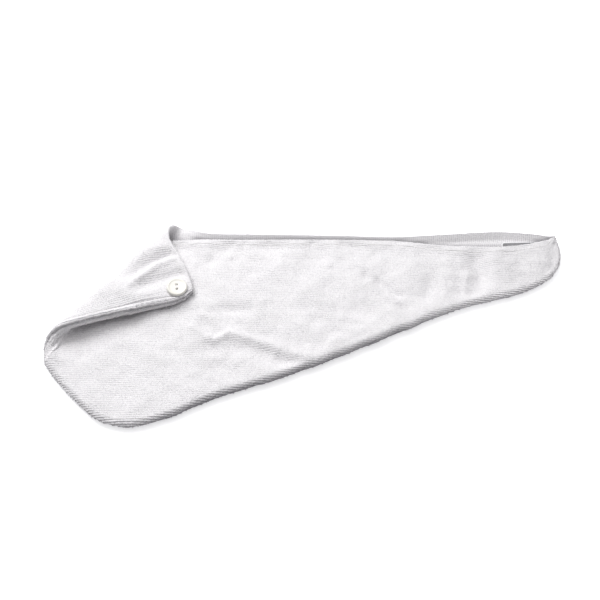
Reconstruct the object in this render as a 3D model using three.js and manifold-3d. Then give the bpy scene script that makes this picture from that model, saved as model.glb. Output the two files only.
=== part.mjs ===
// Hair turban towel of white terry, lying flat with its nape corner folded over to the front.
// Millimetres, +Z up. X runs along the mouth edge from the nape to the tail tip, Y runs across
// from the sewn belly edge to the mouth, and the back panel rests on z = 0.
//
// Two mirror-image panels are sewn along the crown end, the curved belly and the tail tip, and are
// open along the straight mouth edge. Both are first worked out lying flat, as the cutting pattern:
// x from the unfolded nape corner, y from the mouth line. Then the nape corner is rolled over.
import * as THREE from "three";
import { mergeVertices } from "three/addons/utils/BufferGeometryUtils.js";
import Module from "manifold-3d";

// Cloth sizes
const LENGTH = 650; // nape corner to tail tip along the mouth
const WIDTH = 268; // mouth line to the lowest point of the belly
const CLOTH = 3; // one terry wall with its pile
const HEM_THICKNESS = 4; // the mouth hem, folded double and pressed by its stitching
const HEM_WIDTH = 12;
const PUFF = 10; // inside height between the panels that a share of 1 stands for
const SEAM_GAP = 0.3; // between the two panels where they are sewn face to face
const CREASE = 4; // height of the deepest crease

// Folded nape corner
const FOLD_ANGLE = THREE.MathUtils.degToRad(56.4); // fold line against the mouth line
const APEX_CORE = 3.4; // radius of the hollow inside the roll at the mouth end of the fold
const CROWN_CORE = 6.5; // the same at the crown end
const FLAP_REST_GAP = 3; // under the flap's far corner, above the front panel
const FLAP_REACH = 88; // distance past the roll at which the flap has settled onto that gap

// Button and its thread
const BUTTON_DIAMETER = 25;
const BUTTON_THICKNESS = 3.4;
const BUTTON_WEB = 2.4; // thickness inside the raised rim
const BUTTON_RIM = 2.6;
const HOLE_DIAMETER = 2.8;
const HOLE_SPACING = 6.2;
const THREAD = 1.4;
const SEAT_GAP = 0.3; // clearance between pieces that touch
const BUTTON_TURN = THREE.MathUtils.degToRad(101); // line through the holes, from +X
const BUTTON_SIDES = 32;
const HOLE_SIDES = 12;
const BUTTON_IN_X = 0.029; // place on the pattern, share of LENGTH
const BUTTON_IN_Y = -0.004; // share of WIDTH

// Elastic loop in the tail mouth
const LOOP_LENGTH = 52;
const LOOP_INSIDE = 6.5; // width of the space inside the loop
const LOOP_TAPE = 1.5;
const LOOP_HEIGHT = 4;
const LOOP_ROOT_X = 0.962; // sewn end, share of LENGTH
const LOOP_ROOT_Y = -0.045; // share of WIDTH
const LOOP_ROOT_LENGTH = 4;
const LOOP_TURN = THREE.MathUtils.degToRad(181.5);
const LOOP_SIDES = 10;

// One row for each section from the nape corner to the tail tip. "ribs" is the number of steps to
// the next row. hemX and seamX are shares of LENGTH, frontHem, backHem and seamY shares of WIDTH.
// mouth, field and rim are inside heights at the hem, the middle and the sewn edge, shares of PUFF.
const SECTION_COLUMNS = [
  "ribs", "hemX", "frontHem", "backHem", "seamX", "seamY", "mouth", "field", "rim",
];
const SECTIONS = [
  [2, 0.018, 0.058, 0.061, 0.005, 0.013, 0.0, 0.0, 0.0],
  [2, 0.034, 0.063, 0.067, 0.001, -0.055, 0.08, 0.2, 0.25],
  [3, 0.071, 0.062, 0.066, 0.003, -0.205, 0.15, 0.32, 0.5],
  [3, 0.106, 0.054, 0.059, 0.005, -0.35, 0.15, 0.35, 0.62],
  [5, 0.132, 0.044, 0.05, 0.005, -0.452, 0.15, 0.35, 0.65],
  [5, 0.157, 0.03, 0.043, 0.004, -0.556, 0.15, 0.35, 0.65],
  [5, 0.182, 0.013, 0.057, 0.006, -0.642, 0.15, 0.35, 0.65],
  [3, 0.208, 0.0, 0.09, 0.014, -0.705, 0.15, 0.4, 0.6],
  [3, 0.231, 0.0, 0.095, 0.042, -0.78, 0.2, 0.5, 0.6],
  [3, 0.251, 0.0, 0.085, 0.083, -0.881, 0.25, 0.55, 0.6],
  [3, 0.271, 0.0, 0.07, 0.129, -0.966, 0.35, 0.6, 0.6],
  [3, 0.295, -0.001, 0.062, 0.178, -0.995, 0.35, 0.65, 0.65],
  [3, 0.331, -0.003, 0.058, 0.243, -0.955, 0.35, 0.72, 0.65],
  [3, 0.385, -0.004, 0.056, 0.326, -0.864, 0.35, 0.75, 0.7],
  [3, 0.466, -0.005, 0.05, 0.429, -0.78, 0.35, 0.75, 0.8],
  [3, 0.562, -0.01, 0.042, 0.535, -0.678, 0.35, 0.75, 0.95],
  [3, 0.669, -0.022, 0.032, 0.648, -0.555, 0.4, 0.75, 0.95],
  [4, 0.768, -0.06, 0.045, 0.768, -0.427, 0.6, 0.7, 0.8],
  [4, 0.869, -0.075, 0.06, 0.889, -0.34, 0.8, 0.65, 0.6],
  [2, 0.925, -0.058, 0.052, 0.955, -0.262, 0.65, 0.6, 0.5],
  [2, 0.962, -0.034, 0.04, 0.987, -0.17, 0.5, 0.5, 0.4],
  [2, 0.98, -0.012, 0.03, 0.999, -0.075, 0.15, 0.15, 0.15],
  [0, 0.989, 0.008, 0.024, 0.9995, -0.03, 0.0, 0.0, 0.0],
];
const FOLD_ROW = 7; // the row that lies along the fold line
const REST_ROW = 10; // the row whose middle the folded corner comes to rest over

// Creases: from and to are shares of LENGTH and WIDTH on the pattern, rise and spread shares of
// CREASE and of HEM_WIDTH. A positive rise stands out of the cloth and a negative one is a dent.
const CREASE_COLUMNS = ["fromX", "fromY", "toX", "toY", "rise", "spread"];
const FRONT_CREASES = [
  [0.27, -0.525, 0.313, -0.596, 0.7, 0.6],
  [0.313, -0.596, 0.34, -0.563, 0.9, 0.6],
  [0.34, -0.563, 0.384, -0.598, 0.9, 0.6],
  [0.384, -0.598, 0.433, -0.651, 0.8, 0.6],
  [0.433, -0.651, 0.482, -0.693, 0.6, 0.7],
  [0.29, -0.655, 0.345, -0.635, -0.5, 0.9],
  [0.345, -0.635, 0.41, -0.685, -0.6, 0.9],
  [0.41, -0.685, 0.46, -0.725, -0.5, 0.8],
  [0.29, -0.495, 0.315, -0.56, -0.5, 0.7],
  [0.309, -0.43, 0.375, -0.434, -0.5, 0.8],
  [0.297, -0.15, 0.303, -0.09, -0.4, 0.9],
  [0.303, -0.09, 0.335, -0.035, -0.4, 0.9],
  [0.338, -0.14, 0.36, -0.04, -0.4, 0.9],
  [0.498, -0.04, 0.52, -0.115, -0.4, 0.9],
  [0.46, -0.27, 0.5, -0.155, -0.35, 1.2],
  [0.42, -0.565, 0.497, -0.628, -0.35, 0.8],
  [0.546, -0.445, 0.593, -0.462, -0.4, 0.9],
  [0.599, -0.242, 0.657, -0.36, -0.6, 0.8],
  [0.607, -0.285, 0.65, -0.4, 0.4, 0.7],
  [0.555, -0.04, 0.62, -0.1, -0.35, 0.8],
  [0.824, -0.15, 0.826, -0.24, -0.6, 1.0],
  [0.826, -0.24, 0.804, -0.34, -0.6, 1.0],
  [0.867, -0.175, 0.935, -0.165, 0.35, 1.1],
];
const BACK_CREASES = [
  [0.115, 0.035, 0.108, -0.045, -0.45, 0.8],
  [0.108, -0.045, 0.09, -0.17, -0.4, 0.8],
  [0.103, 0.03, 0.098, -0.041, 0.55, 0.6],
  [0.098, -0.041, 0.055, -0.198, 0.5, 0.6],
  [0.062, 0.03, 0.06, -0.063, -0.5, 0.8],
  [0.06, -0.063, 0.045, -0.17, -0.45, 0.8],
  [0.038, -0.19, 0.06, -0.27, 0.35, 1.1],
];
// Creases fade out over this many hem widths from the fold, the hem and the sewn edge.
const CREASE_FADE = 1.5;

// Points across a wall: steps over the field, and angles round the sewn edge.
const FIELD_STEPS = 11;
const RIM_STEPS = 4;
const RIM_REACH = 1.05; // sideways radius of the rounded sewn edge, share of half its height
const SHORT_RIB_SHARE = 0.3; // most of a short rib that its hem or its rounded edge takes
const EASE = 0.3; // share of a rib over which the inside height changes

const WHITE_TERRY = 0xf4f2f6;
const IVORY = 0xf6f1e2;
const THREAD_WHITE = 0xf8f6f0;

// A table's rows as objects with the column names.
function named(columns, rows) {
  return rows.map((row) => Object.fromEntries(columns.map((name, i) => [name, row[i]])));
}

const sections = named(SECTION_COLUMNS, SECTIONS);
const frontCreases = named(CREASE_COLUMNS, FRONT_CREASES);
const backCreases = named(CREASE_COLUMNS, BACK_CREASES);
const { smoothstep, lerp, clamp } = THREE.MathUtils;

// The ribs: every column interpolated by a Catmull-Rom spline over the rows.
function makeRibs() {
  const ribs = [];
  const at = (i) => sections[clamp(i, 0, sections.length - 1)];
  sections.forEach((row, i) => {
    const steps = Math.max(row.ribs, 1);
    for (let k = 0; k < steps; k++) {
      const t = k / steps;
      const rib = {};
      for (const name of SECTION_COLUMNS.slice(1)) {
        const [a, b, c, d] = [at(i - 1), at(i), at(i + 1), at(i + 2)].map((r) => r[name]);
        const bend = (2 * a - 5 * b + 4 * c - d) * t * t + (3 * b - a - 3 * c + d) * t * t * t;
        rib[name] = 0.5 * (2 * b + (c - a) * t + bend);
      }
      for (const name of ["mouth", "field", "rim"]) rib[name] = Math.max(rib[name], 0);
      ribs.push(rib);
    }
  });
  return ribs;
}

// Height of the front panel's outside above the back panel's, where both are as thick as "wall".
function stackHeight(wall, share) {
  return 2 * wall + SEAM_GAP + PUFF * share;
}

// Fold line: it starts at the mouth, runs down to the crown edge, and the corner lies beyond it.
const foldRow = sections[FOLD_ROW];
const foldStart = new THREE.Vector2(foldRow.hemX * LENGTH, foldRow.frontHem * WIDTH);
const foldEnd = new THREE.Vector2(foldRow.seamX * LENGTH, foldRow.seamY * WIDTH);
const foldLength = foldStart.distanceTo(foldEnd);
const alongFold = new THREE.Vector2(-Math.cos(FOLD_ANGLE), -Math.sin(FOLD_ANGLE));
const beyondFold = new THREE.Vector2(-Math.sin(FOLD_ANGLE), Math.cos(FOLD_ANGLE));
const apexAxis = stackHeight(HEM_THICKNESS, foldRow.mouth) + APEX_CORE;
const crownAxis = stackHeight(CLOTH, foldRow.rim) + CROWN_CORE;
const flapThickness = stackHeight(CLOTH, foldRow.field);
const cornerThickness = stackHeight(CLOTH, sections[0].field);
const restHeight = stackHeight(CLOTH, sections[REST_ROW].field);

// Where a point of the flat pattern lies once the nape corner is rolled over: a half turn round a
// raised axis whose height grows from the mouth to the crown, then a flap that settles down.
function fold(x, y, z) {
  const from = new THREE.Vector2(x, y).sub(foldStart);
  const beyond = from.dot(beyondFold);
  if (beyond <= 0) return new THREE.Vector3(x, y, z);
  const share = clamp(from.dot(alongFold) / foldLength, -0.1, 1.15);
  const axis = lerp(apexAxis, crownAxis, share);
  const radius = axis - flapThickness / 2;
  const turn = Math.min(beyond / radius, Math.PI);
  const past = Math.max(beyond - Math.PI * radius, 0);
  const settle = 2 * axis - cornerThickness - restHeight - FLAP_REST_GAP;
  const move = (axis - z) * Math.sin(turn) - past - beyond;
  const height = axis - (axis - z) * Math.cos(turn) - settle * (past / FLAP_REACH) ** 2;
  return new THREE.Vector3(x + beyondFold.x * move, y + beyondFold.y * move, height);
}

// Height of the creases of one table at a pattern point: the strongest ridge plus the deepest dent,
// each a bell curve of the distance to its line.
function relief(creases, x, y) {
  let ridge = 0;
  let dent = 0;
  const point = new THREE.Vector3(x, y, 0);
  const near = new THREE.Vector3();
  for (const c of creases) {
    const line = new THREE.Line3(
      new THREE.Vector3(c.fromX * LENGTH, c.fromY * WIDTH, 0),
      new THREE.Vector3(c.toX * LENGTH, c.toY * WIDTH, 0),
    );
    line.closestPointToPoint(point, true, near);
    const away = near.distanceTo(point) / (c.spread * HEM_WIDTH);
    const height = c.rise * CREASE * Math.exp(-away * away);
    ridge = Math.max(ridge, height);
    dent = Math.min(dent, height);
  }
  return ridge + dent;
}

// One wall of a panel as a strip of point pairs from its hem to its sewn edge: "out" on the cloth's
// outside and "in" on its inside. Each is a distance along the rib and a height above the back
// panel's outside. The front wall is the back one turned over and moved up by the stack's height.
function wallPairs(rib, length, isFront) {
  const hemWidth = Math.min(HEM_WIDTH, SHORT_RIB_SHARE * length);
  const rimHeight = stackHeight(CLOTH, rib.rim);
  const reach = Math.min((RIM_REACH * rimHeight) / 2, SHORT_RIB_SHARE * length);
  const inner = Math.max(reach - CLOTH, reach / 4);
  const straight = length - reach;
  const seamHeight = (rimHeight - SEAM_GAP) / 2;
  const hemStep = HEM_THICKNESS - CLOTH;
  const stack = (r, wall) => {
    const opening = smoothstep(r, hemWidth, hemWidth + EASE * length);
    const closing = smoothstep(r, straight - EASE * length, straight);
    const share = lerp(lerp(rib.mouth, rib.field, opening), rib.rim, closing);
    return stackHeight(CLOTH, share) + wall - CLOTH + hemStep * (1 - opening);
  };
  const pairs = [];
  const add = (rOut, hOut, rIn, hIn, wall) => {
    const height = isFront ? stack(rOut, wall) : 0;
    const place = (h) => (isFront ? height - h : h);
    pairs.push({ out: [rOut, place(hOut)], in: [rIn, place(hIn)] });
  };
  const nose = Math.min(HEM_THICKNESS / 2, hemWidth / 3);
  for (const angle of [72, 36, 0].map(THREE.MathUtils.degToRad)) {
    const r = nose * (1 - Math.sin(angle));
    const h = (HEM_THICKNESS / 2) * (1 - Math.cos(angle));
    add(r, h, r, HEM_THICKNESS - h, HEM_THICKNESS);
  }
  add(hemWidth, 0, hemWidth, HEM_THICKNESS, HEM_THICKNESS);
  const stepEnd = hemWidth + (HEM_THICKNESS - CLOTH) * 1.5;
  for (let k = 0; k < FIELD_STEPS; k++) {
    const r = lerp(stepEnd, straight, k / FIELD_STEPS);
    add(r, 0, r, CLOTH, CLOTH);
  }
  for (let k = 0; k <= RIM_STEPS; k++) {
    const angle = (k / RIM_STEPS) * (Math.PI / 2);
    const rise = 1 - Math.cos(angle);
    const out = seamHeight * rise;
    const inside = CLOTH + Math.max(seamHeight - CLOTH, 0) * rise;
    add(straight + reach * Math.sin(angle), out, straight + inner * Math.sin(angle), inside, CLOTH);
  }
  return pairs;
}

// A panel: the wall pairs of every rib, with creases added, folded, and joined into one closed mesh.
function panelGeometry(isFront) {
  const rows = makeRibs().map((rib) => {
    const hemShare = isFront ? rib.frontHem : rib.backHem;
    const hem = new THREE.Vector2(rib.hemX * LENGTH, hemShare * WIDTH);
    const seam = new THREE.Vector2(rib.seamX * LENGTH, rib.seamY * WIDTH);
    const length = hem.distanceTo(seam);
    const fadeLength = CREASE_FADE * HEM_WIDTH;
    const place = ([r, z]) => {
      const p = hem.clone().lerp(seam, r / length);
      const beyond = p.clone().sub(foldStart).dot(beyondFold);
      const inField = smoothstep(r, 0, fadeLength) * smoothstep(length - r, 0, fadeLength);
      if (isFront) {
        const clear = smoothstep(-beyond, 0, fadeLength);
        return fold(p.x, p.y, z + relief(frontCreases, p.x, p.y) * inField * clear);
      }
      const onFlap = smoothstep(beyond, fadeLength, 2 * fadeLength);
      return fold(p.x, p.y, z - relief(backCreases, p.x, p.y) * inField * onFlap);
    };
    const pairs = wallPairs(rib, length, isFront);
    return [...pairs.map((p) => place(p.out)), ...pairs.map((p) => place(p.in)).reverse()];
  });
  return bandGeometry(rows, isFront);
}

// A closed mesh through rows of points that each run along the outside of a wall and back along its
// inside. Both ends are closed by strips between the outside and the inside points.
function bandGeometry(rows, flip) {
  const around = rows[0].length;
  const index = [];
  const quad = (a, b, c, d) => {
    if (flip) index.push(a, c, b, a, d, c);
    else index.push(a, b, c, a, c, d);
  };
  for (let i = 0; i + 1 < rows.length; i++) {
    for (let j = 0; j < around; j++) {
      const next = (j + 1) % around;
      quad(i * around + j, (i + 1) * around + j, (i + 1) * around + next, i * around + next);
    }
  }
  const last = (rows.length - 1) * around;
  for (let j = 0; j + 1 < around / 2; j++) {
    const back = around - 1 - j;
    quad(j, j + 1, back - 1, back);
    quad(last + back, last + back - 1, last + j + 1, last + j);
  }
  const geometry = new THREE.BufferGeometry().setFromPoints(rows.flat());
  geometry.setIndex(index);
  geometry.computeVertexNormals();
  return geometry;
}

// The buttonhole cuts need solids; vertices are merged first so that each mesh is closed.
const wasm = await Module();
wasm.setup();

function solidOf(geometry) {
  const bare = geometry.clone();
  for (const name of Object.keys(bare.attributes)) {
    if (name !== "position") bare.deleteAttribute(name);
  }
  const merged = mergeVertices(bare, 1e-4);
  return new wasm.Manifold(
    new wasm.Mesh({
      numProp: 3,
      vertProperties: merged.attributes.position.array,
      triVerts: new Uint32Array(merged.index.array),
    }),
  );
}

function geometryOf(solid) {
  const mesh = solid.getMesh();
  const geometry = new THREE.BufferGeometry();
  geometry.setAttribute("position", new THREE.BufferAttribute(mesh.vertProperties, mesh.numProp));
  geometry.setIndex(new THREE.BufferAttribute(mesh.triVerts, 1));
  geometry.computeVertexNormals();
  return geometry;
}

// Two-hole button, its underside at z = 0 and its holes along its own X.
function buttonGeometry() {
  const radius = BUTTON_DIAMETER / 2;
  const bevel = BUTTON_THICKNESS / 4;
  const profile = [
    [0, 0],
    [radius - 2 * bevel, 0],
    [radius, bevel],
    [radius, BUTTON_THICKNESS - bevel],
    [radius - bevel, BUTTON_THICKNESS],
    [radius - BUTTON_RIM + bevel / 2, BUTTON_THICKNESS],
    [radius - BUTTON_RIM - bevel, BUTTON_WEB],
    [0, BUTTON_WEB],
  ].map(([r, z]) => new THREE.Vector2(r, z));
  const disc = new THREE.LatheGeometry(profile, BUTTON_SIDES).rotateX(Math.PI / 2);
  let solid = solidOf(disc);
  for (const side of [-1, 1]) {
    const hole = new THREE.CylinderGeometry(
      HOLE_DIAMETER / 2, HOLE_DIAMETER / 2, 3 * BUTTON_THICKNESS, HOLE_SIDES,
    );
    hole.rotateX(Math.PI / 2).translate((side * HOLE_SPACING) / 2, 0, 0);
    solid = solid.subtract(solidOf(hole));
  }
  return geometryOf(solid);
}

// Thread: one bar over the web between the holes, with a leg down through each of them.
function threadGeometry() {
  const outer = HOLE_SPACING / 2 + THREAD / 2;
  const inner = HOLE_SPACING / 2 - THREAD / 2;
  const top = BUTTON_WEB + SEAT_GAP + THREAD;
  const bar = new THREE.Shape();
  bar.moveTo(-outer, 0);
  bar.lineTo(-inner, 0);
  bar.lineTo(-inner, BUTTON_WEB + SEAT_GAP);
  bar.lineTo(inner, BUTTON_WEB + SEAT_GAP);
  bar.lineTo(inner, 0);
  bar.lineTo(outer, 0);
  bar.lineTo(outer, top - THREAD / 2);
  bar.lineTo(inner, top);
  bar.lineTo(-inner, top);
  bar.lineTo(-outer, top - THREAD / 2);
  bar.closePath();
  const geometry = new THREE.ExtrudeGeometry(bar, { depth: THREAD, bevelEnabled: false });
  return geometry.translate(0, 0, -THREAD / 2).rotateX(Math.PI / 2);
}

// Elastic loop: a flat tape on edge, doubled back round a half circle and joined at its sewn root.
function loopGeometry() {
  const bend = LOOP_LENGTH - LOOP_INSIDE / 2 - LOOP_TAPE;
  const outline = (half, root) => {
    const points = [new THREE.Vector2(root, -half)];
    for (let k = 0; k <= LOOP_SIDES; k++) {
      const angle = (k / LOOP_SIDES - 0.5) * Math.PI;
      points.push(new THREE.Vector2(bend + half * Math.cos(angle), half * Math.sin(angle)));
    }
    points.push(new THREE.Vector2(root, half));
    return points;
  };
  const shape = new THREE.Shape(outline(LOOP_INSIDE / 2 + LOOP_TAPE, 0));
  shape.holes.push(new THREE.Path(outline(LOOP_INSIDE / 2, LOOP_ROOT_LENGTH)));
  return new THREE.ExtrudeGeometry(shape, { depth: LOOP_HEIGHT, bevelEnabled: false });
}

function namedMesh(name, geometry, color, roughness) {
  const material = new THREE.MeshStandardMaterial({ color, roughness, metalness: 0 });
  const mesh = new THREE.Mesh(geometry, material);
  mesh.name = name;
  return mesh;
}

// The button and its thread stand together on the folded corner, square to the cloth there.
function buttonGroup() {
  const x = BUTTON_IN_X * LENGTH;
  const y = BUTTON_IN_Y * WIDTH;
  const half = BUTTON_DIAMETER / 2;
  const seat = fold(x, y, 0);
  const across = fold(x + half, y, 0).sub(fold(x - half, y, 0));
  const along = fold(x, y + half, 0).sub(fold(x, y - half, 0));
  const normal = across.cross(along).normalize();
  if (normal.z < 0) normal.negate();
  const holes = new THREE.Vector3(Math.cos(BUTTON_TURN), Math.sin(BUTTON_TURN), 0);
  holes.addScaledVector(normal, -holes.dot(normal)).normalize();
  const side = new THREE.Vector3().crossVectors(normal, holes);
  const group = new THREE.Group();
  group.setRotationFromMatrix(new THREE.Matrix4().makeBasis(holes, side, normal));
  group.position.copy(seat.addScaledVector(normal, SEAT_GAP));
  group.add(namedMesh("button", buttonGeometry(), IVORY, 0.35));
  group.add(namedMesh("button_thread", threadGeometry(), THREAD_WHITE, 0.8));
  return group;
}

function tailLoop() {
  const mesh = namedMesh("tail_loop", loopGeometry(), WHITE_TERRY, 0.7);
  mesh.rotation.z = LOOP_TURN;
  mesh.position.set(LOOP_ROOT_X * LENGTH, LOOP_ROOT_Y * WIDTH, CLOTH + SEAT_GAP);
  return mesh;
}

const towel = new THREE.Group();
towel.add(namedMesh("back_panel", panelGeometry(false), WHITE_TERRY, 0.95));
towel.add(namedMesh("front_panel", panelGeometry(true), WHITE_TERRY, 0.95));
towel.add(buttonGroup(), tailLoop());

// The part's origin is the middle of its footprint on the surface it lies on.
towel.updateMatrixWorld(true);
const middle = new THREE.Box3().setFromObject(towel, true).getCenter(new THREE.Vector3());
towel.position.set(-middle.x, -middle.y, 0);

const hairTurban = new THREE.Group();
hairTurban.add(towel);

export default hairTurban;
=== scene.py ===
"""Looks of the hair turban towel: white terry that lies flat with its nape corner rolled over.

Lengths in the tables and in the surface formulas are millimetres on the cutting pattern: x runs from
the unfolded nape corner to the tail tip, y from the mouth line towards the mouth, and the sewn belly
edge has negative y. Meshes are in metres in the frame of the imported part.
"""

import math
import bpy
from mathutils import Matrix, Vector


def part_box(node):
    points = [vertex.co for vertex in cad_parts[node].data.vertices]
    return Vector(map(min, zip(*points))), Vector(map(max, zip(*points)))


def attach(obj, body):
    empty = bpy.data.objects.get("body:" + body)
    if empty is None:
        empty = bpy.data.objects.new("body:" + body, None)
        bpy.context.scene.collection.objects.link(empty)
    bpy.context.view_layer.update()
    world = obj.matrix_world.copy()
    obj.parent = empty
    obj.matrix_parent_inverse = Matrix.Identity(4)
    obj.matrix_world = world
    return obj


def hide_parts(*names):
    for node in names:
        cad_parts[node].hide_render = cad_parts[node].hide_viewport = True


bl_info = {
    "name": "Hair turban towel",
    "version": (1, 0, 0),
    "blender": (4, 5, 0),
    "location": "View3D > Sidebar > Turban",
    "description": "Builds the terry panels, pile, stitching, button, elastic loop and stage",
    "category": "Add Mesh",
}

import bmesh
import bpy
import numpy as np
from bpy.props import FloatProperty, FloatVectorProperty, IntProperty, PointerProperty
from mathutils import Matrix, Vector

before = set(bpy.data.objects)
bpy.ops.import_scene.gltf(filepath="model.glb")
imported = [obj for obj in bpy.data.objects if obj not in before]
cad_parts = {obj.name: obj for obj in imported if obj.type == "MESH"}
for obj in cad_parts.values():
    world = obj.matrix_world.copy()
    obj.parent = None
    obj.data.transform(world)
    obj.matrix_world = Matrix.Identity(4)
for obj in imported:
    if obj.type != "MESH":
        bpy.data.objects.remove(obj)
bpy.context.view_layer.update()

MM = 0.001

# Cutting pattern and cloth sizes, in millimetres
LENGTH = 650.0
WIDTH = 268.0
CLOTH = 3.0
HEM_THICKNESS = 4.0
HEM_WIDTH = 12.0
PUFF = 10.0
SEAM_GAP = 0.3
FOLD_ANGLE = math.radians(56.4)
APEX_CORE = 3.4
CROWN_CORE = 6.5
FLAP_REST_GAP = 3.0
FLAP_REACH = 88.0
RIM_REACH = 1.05
SHORT_RIB_SHARE = 0.3
EASE = 0.3
CREASE_FADE = 1.5

# Sections from the nape corner to the tail tip: shares of LENGTH, of WIDTH and of PUFF.
SECTION_COLUMNS = ("hem_x", "front_hem", "back_hem", "seam_x", "seam_y", "mouth", "field", "rim")
SECTIONS = np.array([
    (0.018, 0.058, 0.061, 0.005, 0.013, 0, 0, 0),
    (0.034, 0.063, 0.067, 0.001, -0.055, 0.08, 0.2, 0.25),
    (0.071, 0.062, 0.066, 0.003, -0.205, 0.15, 0.32, 0.5),
    (0.106, 0.054, 0.059, 0.005, -0.35, 0.15, 0.35, 0.62),
    (0.132, 0.044, 0.05, 0.005, -0.452, 0.15, 0.35, 0.65),
    (0.157, 0.03, 0.043, 0.004, -0.556, 0.15, 0.35, 0.65),
    (0.182, 0.013, 0.057, 0.006, -0.642, 0.15, 0.35, 0.65),
    (0.208, 0, 0.09, 0.014, -0.705, 0.15, 0.4, 0.6),
    (0.231, 0, 0.095, 0.042, -0.78, 0.2, 0.5, 0.6),
    (0.251, 0, 0.085, 0.083, -0.881, 0.25, 0.55, 0.6),
    (0.271, 0, 0.07, 0.129, -0.966, 0.35, 0.6, 0.6),
    (0.295, -0.001, 0.062, 0.178, -0.995, 0.35, 0.65, 0.65),
    (0.331, -0.003, 0.058, 0.243, -0.955, 0.35, 0.72, 0.65),
    (0.385, -0.004, 0.056, 0.326, -0.864, 0.35, 0.75, 0.7),
    (0.466, -0.005, 0.05, 0.429, -0.78, 0.35, 0.75, 0.8),
    (0.562, -0.01, 0.042, 0.535, -0.678, 0.35, 0.75, 0.95),
    (0.669, -0.022, 0.032, 0.648, -0.555, 0.4, 0.75, 0.95),
    (0.768, -0.06, 0.045, 0.768, -0.427, 0.6, 0.7, 0.8),
    (0.869, -0.075, 0.06, 0.889, -0.34, 0.8, 0.65, 0.6),
    (0.925, -0.058, 0.052, 0.955, -0.262, 0.65, 0.6, 0.5),
    (0.962, -0.034, 0.04, 0.987, -0.17, 0.5, 0.5, 0.4),
    (0.98, -0.012, 0.03, 0.999, -0.075, 0.15, 0.15, 0.15),
    (0.996, 0.014, 0.028, 0.9995, -0.014, 0, 0, 0),
])
FOLD_ROW = 7
REST_ROW = 10

# Creases: start and end as shares of LENGTH and WIDTH, rise as a share of the crease height, and
# spread as a share of HEM_WIDTH. A positive rise stands out of the cloth and a negative one dents it.
FRONT_CREASES = np.array([
    (0.27, -0.525, 0.3, -0.585, 0.65, 0.4),
    (0.3, -0.585, 0.313, -0.596, 0.85, 0.4),
    (0.313, -0.596, 0.34, -0.563, 0.9, 0.4),
    (0.34, -0.563, 0.384, -0.598, 0.9, 0.4),
    (0.384, -0.598, 0.433, -0.651, 0.8, 0.45),
    (0.433, -0.651, 0.482, -0.693, 0.6, 0.55),
    (0.29, -0.655, 0.345, -0.635, -0.6, 0.9),
    (0.345, -0.635, 0.41, -0.685, -0.8, 1.0),
    (0.41, -0.685, 0.46, -0.725, -0.7, 0.8),
    (0.295, -0.72, 0.36, -0.75, -0.3, 1.8),
    (0.29, -0.495, 0.315, -0.56, -0.6, 0.6),
    (0.284, -0.432, 0.309, -0.445, -0.4, 0.7),
    (0.327, -0.427, 0.375, -0.434, -0.6, 0.6),
    (0.297, -0.15, 0.303, -0.09, -0.45, 0.8),
    (0.303, -0.09, 0.335, -0.035, -0.45, 0.8),
    (0.338, -0.14, 0.36, -0.04, -0.5, 0.7),
    (0.36, -0.05, 0.44, -0.06, -0.4, 0.8),
    (0.498, -0.04, 0.52, -0.115, -0.55, 0.8),
    (0.46, -0.27, 0.485, -0.22, -0.45, 1.2),
    (0.485, -0.22, 0.5, -0.155, -0.45, 1.2),
    (0.42, -0.565, 0.47, -0.607, -0.45, 0.7),
    (0.47, -0.607, 0.497, -0.628, -0.4, 0.7),
    (0.555, -0.512, 0.573, -0.529, -0.5, 0.6),
    (0.519, -0.581, 0.534, -0.56, -0.5, 0.6),
    (0.546, -0.445, 0.593, -0.462, -0.5, 0.8),
    (0.599, -0.242, 0.617, -0.275, -0.65, 0.6),
    (0.617, -0.275, 0.638, -0.334, -0.75, 0.6),
    (0.638, -0.334, 0.657, -0.36, -0.6, 0.6),
    (0.607, -0.285, 0.632, -0.355, 0.5, 0.5),
    (0.632, -0.355, 0.65, -0.4, 0.45, 0.5),
    (0.555, -0.04, 0.6, -0.06, -0.45, 0.6),
    (0.6, -0.06, 0.62, -0.1, -0.45, 0.6),
    (0.73, -0.24, 0.72, -0.36, -0.5, 1.0),
    (0.783, -0.22, 0.775, -0.34, -0.5, 0.9),
    (0.824, -0.15, 0.826, -0.24, -1.0, 1.0),
    (0.826, -0.24, 0.804, -0.34, -0.9, 1.0),
    (0.867, -0.175, 0.935, -0.165, 0.35, 0.9),
])
FLAP_CREASES = np.array([
    (0.115, 0.035, 0.108, -0.045, -0.8, 0.7),
    (0.108, -0.045, 0.096, -0.11, -0.7, 0.7),
    (0.096, -0.11, 0.09, -0.17, -0.45, 0.8),
    (0.103, 0.03, 0.098, -0.041, 0.65, 0.5),
    (0.098, -0.041, 0.085, -0.101, 0.7, 0.5),
    (0.085, -0.101, 0.069, -0.16, 0.6, 0.5),
    (0.069, -0.16, 0.055, -0.198, 0.4, 0.5),
    (0.062, 0.03, 0.06, -0.063, -0.85, 0.8),
    (0.06, -0.063, 0.052, -0.13, -0.8, 0.75),
    (0.052, -0.13, 0.045, -0.17, -0.5, 0.7),
    (0.038, -0.19, 0.06, -0.27, 0.4, 1.0),
    (0.14, -0.02, 0.135, -0.12, 0.35, 0.9),
    (0.125, -0.25, 0.13, -0.35, -0.3, 1.2),
])
SEAM_SPLIT = 0.32  # the seam's height over the back panel's outside, as a share of the rim's height
SEAM_TURN = math.radians(128)  # how far round the rim the front panel reaches
FLAP_ROWS = 1.3  # pitch of the ridges along the flap's sewn edge, in row pitches
RAGGED = 0.8  # how far the sewn edge wanders
RAGGED_WAVES = (34, 31)  # length and seed of that wandering
FULL_REACH = 5.0  # a rim that reaches less than this has a shallower groove
GROOVE_TURN = math.radians(38)  # over which the seam's groove deepens
BAND_WIDTH = 15.0  # of the pressed band along the flap's sewn edge
LIP_WIDTH = 15.0  # of the back hem, which curls up behind the front one
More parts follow.
